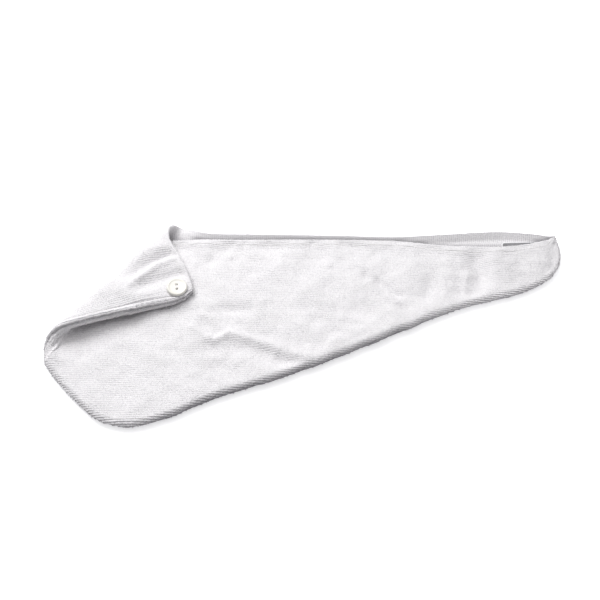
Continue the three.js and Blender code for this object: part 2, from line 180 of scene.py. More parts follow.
HEM_FADE = 8.0  # creases fade out over this distance from the mouth edge
HEM_STEP = 6.0  # distance over which the hem's extra thickness ends
FLAP_BLEND = (4.0, 16.0)  # distances past the fold between which the flap's own relief comes in
FLAP_FOLLOW = {True: 0.6, False: 1.5}  # share of the flap's creases on the front panel, and the back one
SWELLING_PLACE = (14.0, 1.0)  # of the swelling inside the roll: from the seam, and past the fold
SWELLING_SPREAD = (10.0, 14.0)
SOFT_WAVES = ((46, 11, 0.55), (19, 12, 0.22))  # length, seed and share of the cloth's soft waves
PUCKER_LENGTH = 9.0
PUCKER_SPREAD = (9.0, 4.0)  # from the seam, and from the hem
PUCKER_SHARE = (0.7, 0.15)
PUCKER_SEED = {True: 13, False: 25}  # of the front panel, and of the back one
BAND_GROOVE = 2.2  # spread of the groove above the pressed band
BAND_SWELL = (0.3, 4.0)  # share and spread of the swelling in the band's middle
BAND_BLEND = (10.0, 30.0)  # distances past the fold between which the band comes in
ROWS_BLEND = 20.0  # distance past the fold over which the knit rows turn to ridges along the seam
ROWS_PLACE = (5.0, 8.0)  # distance from the seam where the rows stand highest, and their spread
RIDGE_SHARE = 0.5  # height of the ridges along the seam, in row heights
FRONT_RIDGES = 0.3  # how far the front panel's rows turn to ridges on the flap
BELLY = (0.12, 0.3, 0.58, 0.82)  # shares of LENGTH between which the sewn edge's painted shade is full
SEAM_SHADE = 9.0  # distance from the sewn edge over which painted shade darkens the pile's colour
CROWN_SHADE = 0.4  # share of that distance away from the belly
FLAP_SHADE = (1.6, 0.6)  # distance and strength of that painted shade on the flap
MOUTH_SHADE = 0.6  # share of light that painted shade takes from the pile inside the mouth
MOUTH_SHADE_PLACE = (-1.15, -0.7)  # where it starts and is full, in stack heights behind the front hem
LIP_BLEND = (-4.0, 24.0)  # distances ahead of the fold between which the back hem's curl comes in
LIP_LEAN = 0.73  # how far the curled hem leans in, as a share of its rise

# Grid of a panel: ribs along it, and points across its outside and its inside.
RIBS = 680
NOSE_STEPS = 6
HEM_STEPS = 12
FIELD_STEPS = 62
RIM_STEPS = 22
INSIDE_FIELD_STEPS = 28
INSIDE_RIM_STEPS = 6
DENSE = 4000  # fine steps from which the ribs' even places are picked

STITCH_INSET = 10.0  # hem stitch line from the mouth edge
STITCH_LENGTH = 2.6
STITCH_PITCH = 3.4
STITCH_WIDTH = 0.55
STITCH_GROOVE = 1.1  # spread of the groove that the stitches pull
STITCH_ENDS = (4.0, 6.0)  # bare hem before the first stitch and after the last
STITCH_RINGS = 5
STITCH_SIDES = 6
STITCH_RISE = (0.15, 0.4)  # height of a stitch's ends over the cloth, and of its arch over them
STITCH_THINNEST = 0.45  # radius of a stitch's ends, as a share of its middle's

# Tufts of the pile. Radii and shifts are in loop pitches along a row and row pitches across it.
TUFT_SIDES = 6
TUFT_SHIFT = (0.3, 0.12)
TUFT_SIZE = (0.75, 1.2)
TUFT_HEIGHT = (0.6, 1.25)
TUFT_AT_SEAM = (0.6, 9.0)  # how much taller the tufts stand at the seam, and over what distance
TUFT_LEAN = 0.3
TUFT_SINK = 0.25
TUFT_RADIUS = (0.62, 0.46)
TUFT_CUT_RADIUS = (0.6, 0.45)
ROW_WANDER = (60, 0.25)  # length and height of the rows' wandering
ON_PANEL = 1.2  # a spot is on the panel if its rib finds it again within this distance
SPOTS_AT_ONCE = 4000
OFF_FLOOR = 0.0001  # metres that the lowest points of the pile and stitches keep from the floor

# Button, with its holes along its own x
BUTTON_RADIUS = 12.5
BUTTON_HOLE = 1.4
BUTTON_HOLE_SPACING = 6.2
BUTTON_DISH = 8.7  # radius where the dish starts inside the raised rim
BUTTON_FACE = 2.75  # height of the face in the dish's middle
BUTTON_RISE = 0.2  # of the dish from its middle to the rim
BUTTON_RIM = 0.42  # of the rim over the dish
BUTTON_EDGE = 1.4  # radius of the edge above
BUTTON_FOOT = 1.1  # radius of the edge below
HOLE_EDGE = 0.35  # depth and spread of the holes' softened edge
HOLES_WITHIN = 0.006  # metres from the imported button's middle

# Sewing thread in the button
STRANDS = ((-0.42, 0.0), (0.0, 2.1), (0.42, 4.2))  # place across the holes, and twist
STRAND_RADIUS = 0.3
STRAND_STEPS = 41
STRAND_SIDES = 10
STRAND_REACH = 1.55  # half the strand's length, in half spacings of the holes
STRAND_BEND = 0.86  # where it turns down into the hole
STRAND_TOP = 3.3

# Elastic loop
LOOP_TAPE = 1.5
LOOP_SHIFT = (0.0, 2.6, 0.5)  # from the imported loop, so that it shows between the hems
LOOP_TURN = math.radians(181.5)
LOOP_PATH_STEPS = 120
LOOP_SIDES = 36
LOOP_END = 1.0  # from the loop's end to where its straight runs start
LOOP_PINCH = 9.0  # distance over which the two runs close up at the sewn root
LOOP_ROOT = 0.56  # half the distance between the runs at the root, in tape thicknesses
LOOP_CORDS = 4.5
LOOP_CORD_DEPTH = 0.14

# Stage
CAMERA_AIM = (-0.0221, 0.0277, 0.0)
CAMERA_TURN = math.radians(-0.5376)  # the view's right-hand direction, from +X
CAMERA_LENS = 38.6
CAMERA_SENSOR = 36.0
FLOOR_HALF = 6.0
SKY_COLOR = (0.97, 0.975, 1.0, 1)
KEY_SPOT, KEY_SIZE = (-0.75, 1.05, 1.55), 1.3
TOP_SPOT, TOP_SIZE = (-0.1, 0.3, 1.9), 1.8

NO_FACES = {3: np.empty((0, 3), int), 4: np.empty((0, 4), int)}


def smoothstep(x, low, high):
    """0 below low, 1 above high, and the cubic 3t^2 - 2t^3 between them."""
    t = np.clip((x - low) / (high - low), 0, 1)
    return t * t * (3 - 2 * t)


def lerp(a, b, t):
    """The straight mix of a and b."""
    return a + (b - a) * t


def bell(distance, spread):
    """The bell curve exp(-(distance / spread)^2)."""
    return np.exp(-((distance / spread) ** 2))


def unit(vectors):
    """The vectors at length 1."""
    return vectors / np.maximum(np.linalg.norm(vectors, axis=-1, keepdims=True), 1e-9)


def ring_quads(rows, columns, closed=True):
    """Quads between the rows of a grid of points, closed on itself along its rows if closed is true."""
    i, j = np.meshgrid(np.arange(rows - 1), np.arange(columns if closed else columns - 1), indexing="ij")
    after = (j + 1) % columns
    corners = (i * columns + j, (i + 1) * columns + j, (i + 1) * columns + after, i * columns + after)
    return np.stack(corners, -1).reshape(-1, 4)


def waves(x, y, length, seed, count=14):
    """Soft unevenness from -1 to 1: the mean of count cosine waves with seeded directions and phases,
    whose wavelengths lie round the given one."""
    rng = np.random.default_rng(seed)
    turn = rng.uniform(0, 2 * math.pi, count)
    number = 2 * math.pi / (length * rng.uniform(0.7, 1.5, count))
    phase = rng.uniform(0, 2 * math.pi, count)
    total = np.zeros(np.broadcast(x, y).shape)
    for t, k, p in zip(turn, number, phase):
        total += np.cos(k * (x * math.cos(t) + y * math.sin(t)) + p)
    return total * math.sqrt(2 / count) / 2


def stack_height(wall, share):
    """Height of the front panel's outside above the back panel's, both being as thick as wall."""
    return 2 * wall + SEAM_GAP + PUFF * share


def section_values(place):
    """Every section column at the places along the table, by a Catmull-Rom spline through its rows.
    Columns that are positions are scaled to millimetres."""
    last = len(SECTIONS) - 1
    row = np.minimum(place.astype(int), last)
    t = (place - row)[:, None]
    a, b, c, d = (SECTIONS[np.clip(row + k, 0, last)] for k in (-1, 0, 1, 2))
    bend = (2 * a - 5 * b + 4 * c - d) * t**2 + (3 * b - a - 3 * c + d) * t**3
    value = dict(zip(SECTION_COLUMNS, (0.5 * (2 * b + (c - a) * t + bend)).T))
    for name in ("hem_x", "seam_x"):
        value[name] = value[name] * LENGTH
    for name in ("front_hem", "back_hem", "seam_y"):
        value[name] = value[name] * WIDTH
    for name in ("mouth", "field", "rim"):
        value[name] = np.maximum(value[name], 0)
    return value


def even_ribs(count):
    """Places of count ribs along the table, so that their hem and seam ends are evenly far apart."""
    place = np.linspace(0, len(SECTIONS) - 1, DENSE)
    value = section_values(place)
    hem = np.hypot(np.diff(value["hem_x"]), np.diff(value["front_hem"]))
    seam = np.hypot(np.diff(value["seam_x"]), np.diff(value["seam_y"]))
    walked = np.concatenate([[0], np.cumsum(np.maximum(hem, seam))])
    return np.interp(np.linspace(0, walked[-1], count), walked, place)


FOLD = dict(zip(SECTION_COLUMNS, SECTIONS[FOLD_ROW]))
FOLD_START = np.array([FOLD["hem_x"] * LENGTH, FOLD["front_hem"] * WIDTH])
FOLD_END = np.array([FOLD["seam_x"] * LENGTH, FOLD["seam_y"] * WIDTH])
FOLD_LENGTH = float(np.hypot(*(FOLD_END - FOLD_START)))
ALONG_FOLD = np.array([-math.cos(FOLD_ANGLE), -math.sin(FOLD_ANGLE)])
BEYOND_FOLD = np.array([-math.sin(FOLD_ANGLE), math.cos(FOLD_ANGLE)])
APEX_AXIS = stack_height(HEM_THICKNESS, FOLD["mouth"]) + APEX_CORE
CROWN_AXIS = stack_height(CLOTH, FOLD["rim"]) + CROWN_CORE
FLAP_THICKNESS = stack_height(CLOTH, FOLD["field"])
CORNER_THICKNESS = stack_height(CLOTH, SECTIONS[0][6])
REST_HEIGHT = stack_height(CLOTH, SECTIONS[REST_ROW][6])


def beyond_fold(x, y):
    """Distance of pattern points past the fold line, positive on the nape corner's side."""
    return (x - FOLD_START[0]) * BEYOND_FOLD[0] + (y - FOLD_START[1]) * BEYOND_FOLD[1]


def roll_over(x, y, z):
    """Where pattern points lie once the nape corner is rolled over: a half turn round a raised axis,
    whose height grows from the mouth to the crown, and past it a flap that settles with the square
    of its distance."""
    beyond = beyond_fold(x, y)
    along = (x - FOLD_START[0]) * ALONG_FOLD[0] + (y - FOLD_START[1]) * ALONG_FOLD[1]
    axis = lerp(APEX_AXIS, CROWN_AXIS, np.clip(along / FOLD_LENGTH, -0.1, 1.15))
    radius = axis - FLAP_THICKNESS / 2
    turn = np.clip(beyond / radius, 0, math.pi)
    past = np.maximum(beyond - math.pi * radius, 0)
    settle = 2 * axis - CORNER_THICKNESS - REST_HEIGHT - FLAP_REST_GAP
    move = (axis - z) * np.sin(turn) - past - beyond
    height = axis - (axis - z) * np.cos(turn) - settle * (past / FLAP_REACH) ** 2
    rolled = np.stack([x + BEYOND_FOLD[0] * move, y + BEYOND_FOLD[1] * move, height], -1)
    return np.where((beyond > 0)[..., None], rolled, np.stack([x, y, z], -1))


def crease_relief(creases, x, y, height):
    """Height of the creases at pattern points: the strongest ridge plus the deepest dent, each a bell
    curve of the distance to its line."""
    ridge = np.zeros_like(x)
    dent = np.zeros_like(x)
    for from_x, from_y, to_x, to_y, rise, spread in creases:
        start = np.array([from_x * LENGTH, from_y * WIDTH])
        line = np.array([to_x * LENGTH, to_y * WIDTH]) - start
        t = np.clip(((x - start[0]) * line[0] + (y - start[1]) * line[1]) / (line @ line), 0, 1)
        away = np.hypot(x - start[0] - line[0] * t, y - start[1] - line[1] * t)
        swell = rise * height * bell(away, spread * HEM_WIDTH)
        ridge = np.maximum(ridge, swell)
        dent = np.minimum(dent, swell)
    return ridge + dent


class PanelSurface:
    """The outside and inside of one panel as grids of points, rib by rib from hem to sewn edge. The
    knit rows run along the mouth on the front panel and across it on the back one: grain puts the two
    numbers of a pattern place in the order along and across the rows."""

    def __init__(self, is_front, cloth):
        self.is_front = is_front
        self.cloth = cloth
        self.grain = slice(None) if is_front else slice(None, None, -1)
        self.rib = section_values(even_ribs(RIBS))
        hem_y = self.rib["front_hem" if is_front else "back_hem"]
        self.hem = np.stack([self.rib["hem_x"], hem_y], -1)
        seam = np.stack([self.rib["seam_x"], self.rib["seam_y"]], -1)
        self.length = np.hypot(*(seam - self.hem).T)
        self.way = (seam - self.hem) / self.length[:, None]
        self.hem_width = np.minimum(HEM_WIDTH, SHORT_RIB_SHARE * self.length)
        rim_height = stack_height(CLOTH, self.rib["rim"])
        self.reach = np.minimum(RIM_REACH * rim_height / 2, SHORT_RIB_SHARE * self.length)
        self.straight = self.length - self.reach
        share = 1 - SEAM_SPLIT if is_front else SEAM_SPLIT
        self.seam_height = rim_height * share - SEAM_GAP / 2
        # Each side keeps a mask of painted shade beside its points.
        self.outside, self.outside_cloth, self.outside_painted_shade = self.placed(*self.outside_section(), True)
        self.inside, self.inside_cloth, self.inside_painted_shade = self.placed(*self.inside_section(), False)

    def outside_section(self):
        """Distance along the rib and height into the cloth, over the outside: a round hem edge, a flat
        hem with a stitched groove, the field, and a quarter ellipse that ends in the seam's groove."""
        nose = np.minimum(HEM_THICKNESS / 2, self.hem_width / 3)[:, None]
        angle = np.linspace(math.pi / 2, 0, NOSE_STEPS, endpoint=False)
        nose_r = nose * (1 - np.sin(angle))
        nose_h = HEM_THICKNESS / 2 * (1 - np.cos(angle)) + 0 * nose
        t = np.linspace(0, 1, HEM_STEPS, endpoint=False)
        hem_r = lerp(nose, self.hem_width[:, None] + CLOTH, t)
        stitched = (hem_r / self.hem_width[:, None] - STITCH_INSET / HEM_WIDTH) * HEM_WIDTH
        hem_h = self.cloth.stitch_depth / MM * bell(stitched, STITCH_GROOVE)
        t = np.linspace(0, 1, FIELD_STEPS, endpoint=False)
        field_r = lerp(self.hem_width[:, None] + CLOTH, self.straight[:, None], t)
        turn = SEAM_TURN if self.is_front else math.pi / 2
        angle = np.linspace(0, turn, RIM_STEPS + 1)
        full = np.minimum(1, self.reach / FULL_REACH)
        seam = self.hem + self.way * self.length[:, None]
        wander = (waves(*seam.T, *RAGGED_WAVES) * full * RAGGED)[:, None]
        groove = self.cloth.seam_groove / MM * smoothstep(angle, turn - GROOVE_TURN, turn)
        groove = groove * full[:, None] + wander * smoothstep(angle, 0, math.pi / 2)
        rim_reach = self.reach if self.is_front else self.reach * math.sin(SEAM_TURN)
        rim_r = self.straight[:, None] + rim_reach[:, None] * np.sin(angle) - groove
        rim_h = self.seam_height[:, None] * (1 - np.cos(angle)) / (1 - math.cos(turn))
        return np.hstack([nose_r, hem_r, field_r, rim_r]), np.hstack([nose_h, hem_h, 0 * field_r, rim_h])

    def inside_section(self):
        """The same over the inside: one cloth's thickness further in, and two under the hem."""
        nose = np.minimum(HEM_THICKNESS / 2, self.hem_width / 3)[:, None]
        angle = np.linspace(math.pi / 2, 0, NOSE_STEPS // 2, endpoint=False)
        nose_r = nose * (1 - np.sin(angle))
        nose_h = HEM_THICKNESS - HEM_THICKNESS / 2 * (1 - np.cos(angle)) + 0 * nose
        t = np.array([0, 0.5, 1])
        hem_r = lerp(nose, self.hem_width[:, None], t)
        t = np.linspace(0, 1, INSIDE_FIELD_STEPS, endpoint=False)
        field_r = lerp(self.hem_width[:, None] + CLOTH / 2, self.straight[:, None], t)
        angle = np.linspace(0, math.pi / 2, INSIDE_RIM_STEPS + 1)
        inner = np.maximum(self.reach - CLOTH, self.reach / 4)[:, None]
        rim_r = self.straight[:, None] + inner * np.sin(angle)
        room = (self.seam_height - CLOTH)[:, None]
        rim_h = CLOTH + room * (1 - np.cos(angle))
        r = np.hstack([nose_r, hem_r, field_r, rim_r])
        return r, np.hstack([nose_h, 0 * hem_r + HEM_THICKNESS, 0 * field_r + CLOTH, rim_h])

    def placed(self, r, h, is_outside):
        """Points of a section in the part's space before it is moved to the frame, their places on the
        cut cloth, where the curved rim is laid out flat, and how much painted shade each takes."""
        length = self.length[:, None]
        hem_width = self.hem_width[:, None]
        opening = smoothstep(r, hem_width, hem_width + EASE * length)
        closing = smoothstep(r, self.straight[:, None] - EASE * length, self.straight[:, None])
        share = lerp(self.rib["mouth"][:, None], self.rib["field"][:, None], opening)
        share = lerp(share, self.rib["rim"][:, None], closing)
        hem_share = 1 - smoothstep(r, hem_width * 0.7, hem_width + HEM_STEP)
        height = stack_height(CLOTH, share) + (HEM_THICKNESS - CLOTH) * (1 - opening + hem_share)
        z = height - h if self.is_front else h
        x = self.hem[:, :1] + self.way[:, :1] * r
        y = self.hem[:, 1:] + self.way[:, 1:] * r
        beyond = beyond_fold(x, y)
        walked = np.hstack([np.zeros((len(r), 1)),
                            np.cumsum(np.hypot(np.diff(r, axis=1), np.diff(h, axis=1)), axis=1)])
        from_seam = walked[:, -1:] - walked
        cut = np.stack([self.hem[:, :1] + self.way[:, :1] * walked,
                        self.hem[:, 1:] + self.way[:, 1:] * walked], -1)
        lift = self.field_relief(x, y, r, beyond)
        if is_outside:
            lift = lift + self.edge_relief(x, y, r, from_seam, beyond)
        if not self.is_front:
            lip = np.clip(1 - r / LIP_WIDTH, 0, 1) ** 1.5 * self.cloth.hem_curl / MM
            lip = lip * smoothstep(-beyond, *LIP_BLEND)
            z = z + lip
            y = y - lip * LIP_LEAN
        points = roll_over(x, y, z + (lift if self.is_front else -lift))
        # The inside carries painted shade between the hems, and the outside carries painted shade along
        # the sewn edge.
        if not is_outside:
            return points, cut, self.mouth_shade(r)
        rows = self.knit_rows(cut[..., 1], from_seam, beyond)
        points = points + outward(points, self.is_front) * rows[..., None]
        return points, cut, self.seam_shade(from_seam, beyond)

    def field_relief(self, x, y, r, beyond):
        """How far the cloth rises by its creases and a soft unevenness, and on the front panel by a
        swelling inside the roll's sewn end. The back panel keeps flat where it lies on the floor."""
        from_end = self.length[:, None] - r
        fade = CREASE_FADE * HEM_WIDTH
        in_field = smoothstep(r, 0, HEM_FADE) * smoothstep(from_end, 0, fade)
        crease = self.cloth.crease_height / MM
        up = 1 if self.is_front else -1
        on_flap = smoothstep(beyond, *FLAP_BLEND)
        follow = FLAP_FOLLOW[self.is_front] * crease
        lift = -up * crease_relief(FLAP_CREASES, x, y, follow) * in_field * on_flap
        if self.is_front:
            ahead = smoothstep(-beyond, 0, fade)
            lift = lift + crease_relief(FRONT_CREASES, x, y, crease) * in_field * ahead
            swelling = bell(from_end - SWELLING_PLACE[0], SWELLING_SPREAD[0]) \
                * bell(beyond - SWELLING_PLACE[1], SWELLING_SPREAD[1])
            lift = lift + self.cloth.roll_swelling / MM * swelling
        soft = sum(waves(x, y, size, seed) * share for size, seed, share in SOFT_WAVES)
        above_floor = 1 if self.is_front else on_flap
        return lift + up * soft * self.cloth.unevenness / MM * in_field * above_floor

    def edge_relief(self, x, y, r, from_seam, beyond):
        """Puckers that the stitches pull along the hem and the seam, and on the flap the groove and the
        low swelling of the band pressed along its sewn edge."""
        near_seam = bell(from_seam, PUCKER_SPREAD[0])
        near_hem = bell(r - self.hem_width[:, None], PUCKER_SPREAD[1])
        shown = near_seam * PUCKER_SHARE[0] + near_hem * PUCKER_SHARE[1]
        pucker = waves(x, y, PUCKER_LENGTH, PUCKER_SEED[self.is_front]) * shown * self.cloth.pucker / MM
        share, spread = BAND_SWELL
        swell = share * bell(from_seam - BAND_WIDTH / 2, spread)
        band = bell(from_seam - BAND_WIDTH, BAND_GROOVE) - swell
        return pucker - band * self.cloth.band_depth / MM * smoothstep(beyond, *BAND_BLEND)

    def knit_rows(self, cut_y, from_seam, beyond):
        """Height of the knit rows where they bend over the sewn edge: cosine ridges along the mouth,
        which turn on the flap to lower ones along the seam."""
        pitch = self.cloth.row_pitch / MM
        turned = smoothstep(beyond, 0, ROWS_BLEND) * (FRONT_RIDGES if self.is_front else 1)
        rows = lerp(np.cos(2 * math.pi * (cut_y / pitch - 0.5)),
                    RIDGE_SHARE * np.cos(2 * math.pi * from_seam / (FLAP_ROWS * pitch)), turned)
        middle, spread = ROWS_PLACE
        return rows * bell(from_seam - middle, spread) * self.cloth.row_height / MM

    def seam_shade(self, from_seam, beyond):
        """Painted shade of the pile towards the sewn edge, as the share of light that it takes: over a
        wide strip along the belly, and a narrow one on the flap."""
        place = self.rib["seam_x"][:, None] / LENGTH
        belly = smoothstep(place, *BELLY[:2]) * (1 - smoothstep(place, *BELLY[2:]))
        on_flap = smoothstep(beyond, 0, ROWS_BLEND)
        width = lerp(SEAM_SHADE * lerp(CROWN_SHADE, 1, belly), FLAP_SHADE[0], on_flap)
        return lerp(1, FLAP_SHADE[1], on_flap) * bell(from_seam, width)

    def mouth_shade(self, r):
        """Painted shade on the back panel's inside between the hems, as the share of light that it
        takes, from a little behind the front hem, at the height of the mouth's stack."""
        if self.is_front:
            return np.zeros_like(r)
        under = (self.rib["back_hem"] - self.rib["front_hem"])[:, None]
        overhead = stack_height(CLOTH, self.rib["mouth"])[:, None]
        return MOUTH_SHADE * smoothstep((r - under) / overhead, *MOUTH_SHADE_PLACE)

    def flat_size(self):
        """Width and length of the cut cloth and its area, in metres: the polygon of the mouth edge and
        of the laid-out seam edge, with the hem's turned-under strip added."""
        edge = np.vstack([self.outside_cloth[:, 0], self.outside_cloth[::-1, -1]])
        x, y = edge.T
        area = abs(np.sum(x * np.roll(y, -1) - y * np.roll(x, -1))) / 2 + HEM_WIDTH * LENGTH
        size = np.ptp(edge, axis=0)
        return (size[1] + HEM_WIDTH) * MM, size[0] * MM, area * MM**2


def frame_shift(front, back):
    """Where the pattern's origin lies in the frame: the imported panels' high X and low Y, less the
    pattern's own."""
    low = np.minimum(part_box("front_panel")[0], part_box("back_panel")[0])
    high = np.maximum(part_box("front_panel")[1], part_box("back_panel")[1])
    points = np.vstack([s.outside.reshape(-1, 3) for s in (front, back)]) * MM
    return np.array([high[0] - points[:, 0].max(), low[1] - points[:, 1].min(), 0.0])


def oriented(points, triangles, quads):
    """The faces, turned round if the closed mesh that they make has a negative volume."""
    tri = np.vstack([triangles, quads[:, [0, 1, 2]], quads[:, [0, 2, 3]]])
    a, b, c = (points[tri[:, k]] for k in range(3))
    if np.sum(np.cross(a, b) * c) < 0:
        return triangles[:, ::-1], quads[:, ::-1]
    return triangles, quads


def mesh_object(name, points, triangles, quads, material, cloth_uv=None, painted_shade=None):
    """A mesh from arrays of points in metres, triangles and quads, smooth, with one material and, where
    given, each point's place on the cloth in metres as its UV map, and its painted shade."""
    mesh = bpy.data.meshes.new(name)
    mesh.from_pydata(points, [], triangles.tolist() + quads.tolist())
    mesh.polygons.foreach_set("use_smooth", np.ones(len(mesh.polygons), bool))
    if cloth_uv is not None:
        corner = np.empty(len(mesh.loops), np.int32)
        mesh.loops.foreach_get("vertex_index", corner)
        layer = mesh.uv_layers.new(name="Cloth")
        layer.data.foreach_set("uv", cloth_uv[corner].astype(np.float32).ravel())
    # Painted shade as a float attribute, which the terry material mixes into its colour.
    if painted_shade is not None:
        layer = mesh.attributes.new("Tuck", "FLOAT", "POINT")
        layer.data.foreach_set("value", painted_shade.astype(np.float32).ravel())
    mesh.materials.append(material)
    mesh.update()
    piece = bpy.data.objects.new(name, mesh)
    bpy.context.scene.collection.objects.link(piece)
    return piece


def shell_faces(ribs, outside, inside):
    """Faces of a closed shell: quads round every pair of neighbouring ribs, whose points run over the
    outside and back over the inside, and a zipper of triangles between the two at each end."""
    around = outside + inside
    k = np.arange(outside - 1)
    partner = np.round(np.linspace(0, inside - 1, outside)).astype(int)
    step = k[partner[1:] != partner[:-1]]
    ends = []
    for rib, turned in ((0, False), (ribs - 1, True)):
        base = rib * around
        over = np.stack([base + k, base + k + 1, base + around - 1 - partner[:-1]], -1)
        back = np.stack([base + step + 1, base + around - 1 - partner[step + 1],
                         base + around - 1 - partner[step]], -1)
        caps = np.vstack([over, back])
        ends.append(caps[:, ::-1] if turned else caps)
    return np.vstack(ends), ring_quads(ribs, around)


def panel_object(name, surface, shift, material):
    """One panel as a closed shell of its outside and its inside."""
    points = np.concatenate([surface.outside, surface.inside[:, ::-1]], 1)
    cut = np.concatenate([surface.outside_cloth, surface.inside_cloth[:, ::-1]], 1)
    ribs = points.shape[0]
    triangles, quads = shell_faces(ribs, surface.outside.shape[1], surface.inside.shape[1])
    points = points.reshape(-1, 3) * MM + shift
    points[:, 2] = np.maximum(points[:, 2], 0)
    # Painted shade of every point, over the outside and the inside.
    painted_shade = np.concatenate([surface.outside_painted_shade, surface.inside_painted_shade[:, ::-1]], 1)
    triangles, quads = oriented(points, triangles, quads)
    cut = cut.reshape(-1, 2)[:, surface.grain]
    return mesh_object(name, points, triangles, quads, material, cut * MM, painted_shade)


def outward(points, is_front):
    """Unit normals of a panel's outside: up on the front panel's field, and down on the back one's."""
    normal = grid_normals(points)
    ahead = normal[len(normal) * 2 // 3, FIELD_STEPS // 2, 2]
    return normal if (ahead > 0) == is_front else -normal


def grid_normals(points):
    """Unit normals of a grid of points: the cross product of the central differences both ways."""
    normal = np.cross(np.gradient(points, axis=0), np.gradient(points, axis=1))
    return normal / np.maximum(np.linalg.norm(normal, axis=-1, keepdims=True), 1e-9)


def on_surface(surface, spots):
    """Where spots on the cut cloth lie on a panel's outside. The rib whose line each spot lies on is
    found from the side that it lies on of every rib, and its place on the rib from its distance.
    Returns points, normals, the direction of the cloth's x, the distance to the seam over the cloth,
    their painted shade, and which spots lie on the panel."""
    hem, way = surface.hem, surface.way
    side = np.zeros(len(spots))
    for first in range(0, len(spots), SPOTS_AT_ONCE):
        part = spots[first:first + SPOTS_AT_ONCE]
        away = part[:, None, :] - hem[None]
        left = way[None, :, 0] * away[..., 1] - way[None, :, 1] * away[..., 0]
        side[first:first + SPOTS_AT_ONCE] = np.sum(left > 0, axis=1)
    rib = np.clip(side.astype(int) - 1, 0, len(hem) - 2)

    def across(index):
        away = spots - hem[index]
        return way[index, 0] * away[:, 1] - way[index, 1] * away[:, 0]

    near, far = across(rib), across(rib + 1)
    t = np.clip(near / np.where(np.abs(near - far) < 1e-9, 1, near - far), 0, 1)
    start = lerp(hem[rib], hem[rib + 1], t[:, None])
    walked = np.linalg.norm(spots - start, axis=1)
    cut = surface.outside_cloth
    reach = np.linalg.norm(cut - cut[:, :1], axis=2)
    total = lerp(reach[rib, -1], reach[rib + 1, -1], t)
    column = np.zeros(len(spots))
    order = np.argsort(rib, kind="stable")
    for index in np.unique(rib):
        chosen = order[np.searchsorted(rib[order], index):np.searchsorted(rib[order], index, "right")]
        column[chosen] = np.interp(walked[chosen], reach[index], np.arange(cut.shape[1]))
    j = np.clip(column.astype(int), 0, cut.shape[1] - 2)
    s = column - j

    def mixed(grid):
        low = lerp(grid[rib, j], grid[rib, j + 1], s[:, None])
        high = lerp(grid[rib + 1, j], grid[rib + 1, j + 1], s[:, None])
        return lerp(low, high, t[:, None])

    found = mixed(cut)
    there = (np.linalg.norm(found - spots, axis=1) < ON_PANEL) & (walked <= total)
    along = np.gradient(surface.outside, axis=0)
    sign = np.sign(np.gradient(cut[..., 0], axis=0))[..., None]
    normal = outward(surface.outside, surface.is_front)
    # Painted shade of the cloth at the spots.
    painted_shade = mixed(surface.outside_painted_shade[..., None])[:, 0]
    return mixed(surface.outside), mixed(normal), mixed(along * sign), total - walked, painted_shade, there


def pile_object(name, surface, shift, cloth, material, seed):
    """Terry loops as low hexagonal tufts on the outside of a panel: each is a cone from a ring of points
    in the cloth to a leaning tip. They stand in its knit rows, half a step apart from row to row."""
    rng = np.random.default_rng(seed)
    low = surface.outside_cloth.reshape(-1, 2).min(0)[surface.grain]
    high = surface.outside_cloth.reshape(-1, 2).max(0)[surface.grain]
    row_pitch, loop_pitch = cloth.row_pitch / MM, cloth.loop_pitch / MM
    rows = (np.arange(math.floor(low[1] / row_pitch), math.ceil(high[1] / row_pitch)) + 0.5) * row_pitch
    steps = np.arange(low[0], high[0], loop_pitch)
    x, y = np.meshgrid(steps, rows)
    x = x + (np.arange(len(rows)) % 2)[:, None] * loop_pitch / 2
    x = x + rng.uniform(-TUFT_SHIFT[0], TUFT_SHIFT[0], x.shape) * loop_pitch
    wander = waves(x, y, ROW_WANDER[0], seed + 1) * ROW_WANDER[1]
    y = y + rng.uniform(-TUFT_SHIFT[1], TUFT_SHIFT[1], y.shape) * row_pitch + wander
    spots = np.stack([x.ravel(), y.ravel()], -1)
    place, normal, along, from_seam, painted_shade, there = on_surface(surface, spots[:, surface.grain])
    spots, place, normal, along = spots[there], place[there], unit(normal[there]), along[there]
    taller, near = TUFT_AT_SEAM
    at_seam = 1 + taller * bell(from_seam[there, None], near)
    along = unit(along - normal * np.sum(along * normal, axis=1, keepdims=True))
    across = np.cross(normal, along)
    k = np.arange(TUFT_SIDES)
    cone = np.stack([k, (k + 1) % TUFT_SIDES, np.full(TUFT_SIDES, TUFT_SIDES)], -1)
    if not surface.is_front:  # its rows run across the mouth, and swapped directions turn the ring round
        along, across, cone = across, along, cone[:, ::-1]
    count = len(place)
    size = rng.uniform(*TUFT_SIZE, (count, 1))
    tall = cloth.pile_height / MM * rng.uniform(*TUFT_HEIGHT, (count, 1)) * at_seam
    lean = rng.normal(0, TUFT_LEAN, (count, 2)) * tall
    angle = np.linspace(0, 2 * math.pi, TUFT_SIDES, endpoint=False) + rng.uniform(0, 1, (count, 1))
    step, lane = np.cos(angle) * loop_pitch, np.sin(angle) * row_pitch
    ring = place[:, None] - normal[:, None] * TUFT_SINK
    ring = ring + along[:, None] * (step * size * TUFT_RADIUS[0])[..., None]
    ring = ring + across[:, None] * (lane * size * TUFT_RADIUS[1])[..., None]
    tip = place + normal * tall + along * lean[:, :1] + across * lean[:, 1:]
    points = np.concatenate([ring, tip[:, None]], 1)
    rim = spots[:, None] + np.stack([step * TUFT_CUT_RADIUS[0], lane * TUFT_CUT_RADIUS[1]], -1)
    cut = np.concatenate([rim, spots[:, None]], 1)
    triangles = (np.arange(count)[:, None, None] * (TUFT_SIDES + 1) + cone[None]).reshape(-1, 3)
    points = points.reshape(-1, 3) * MM + shift
    points[:, 2] = np.maximum(points[:, 2], OFF_FLOOR)
    # Each tuft takes the painted shade of the cloth under it.
    painted_shade = np.repeat(painted_shade[there], TUFT_SIDES + 1)
    return mesh_object(name, points, triangles, NO_FACES[4], material, cut.reshape(-1, 2) * MM, painted_shade)


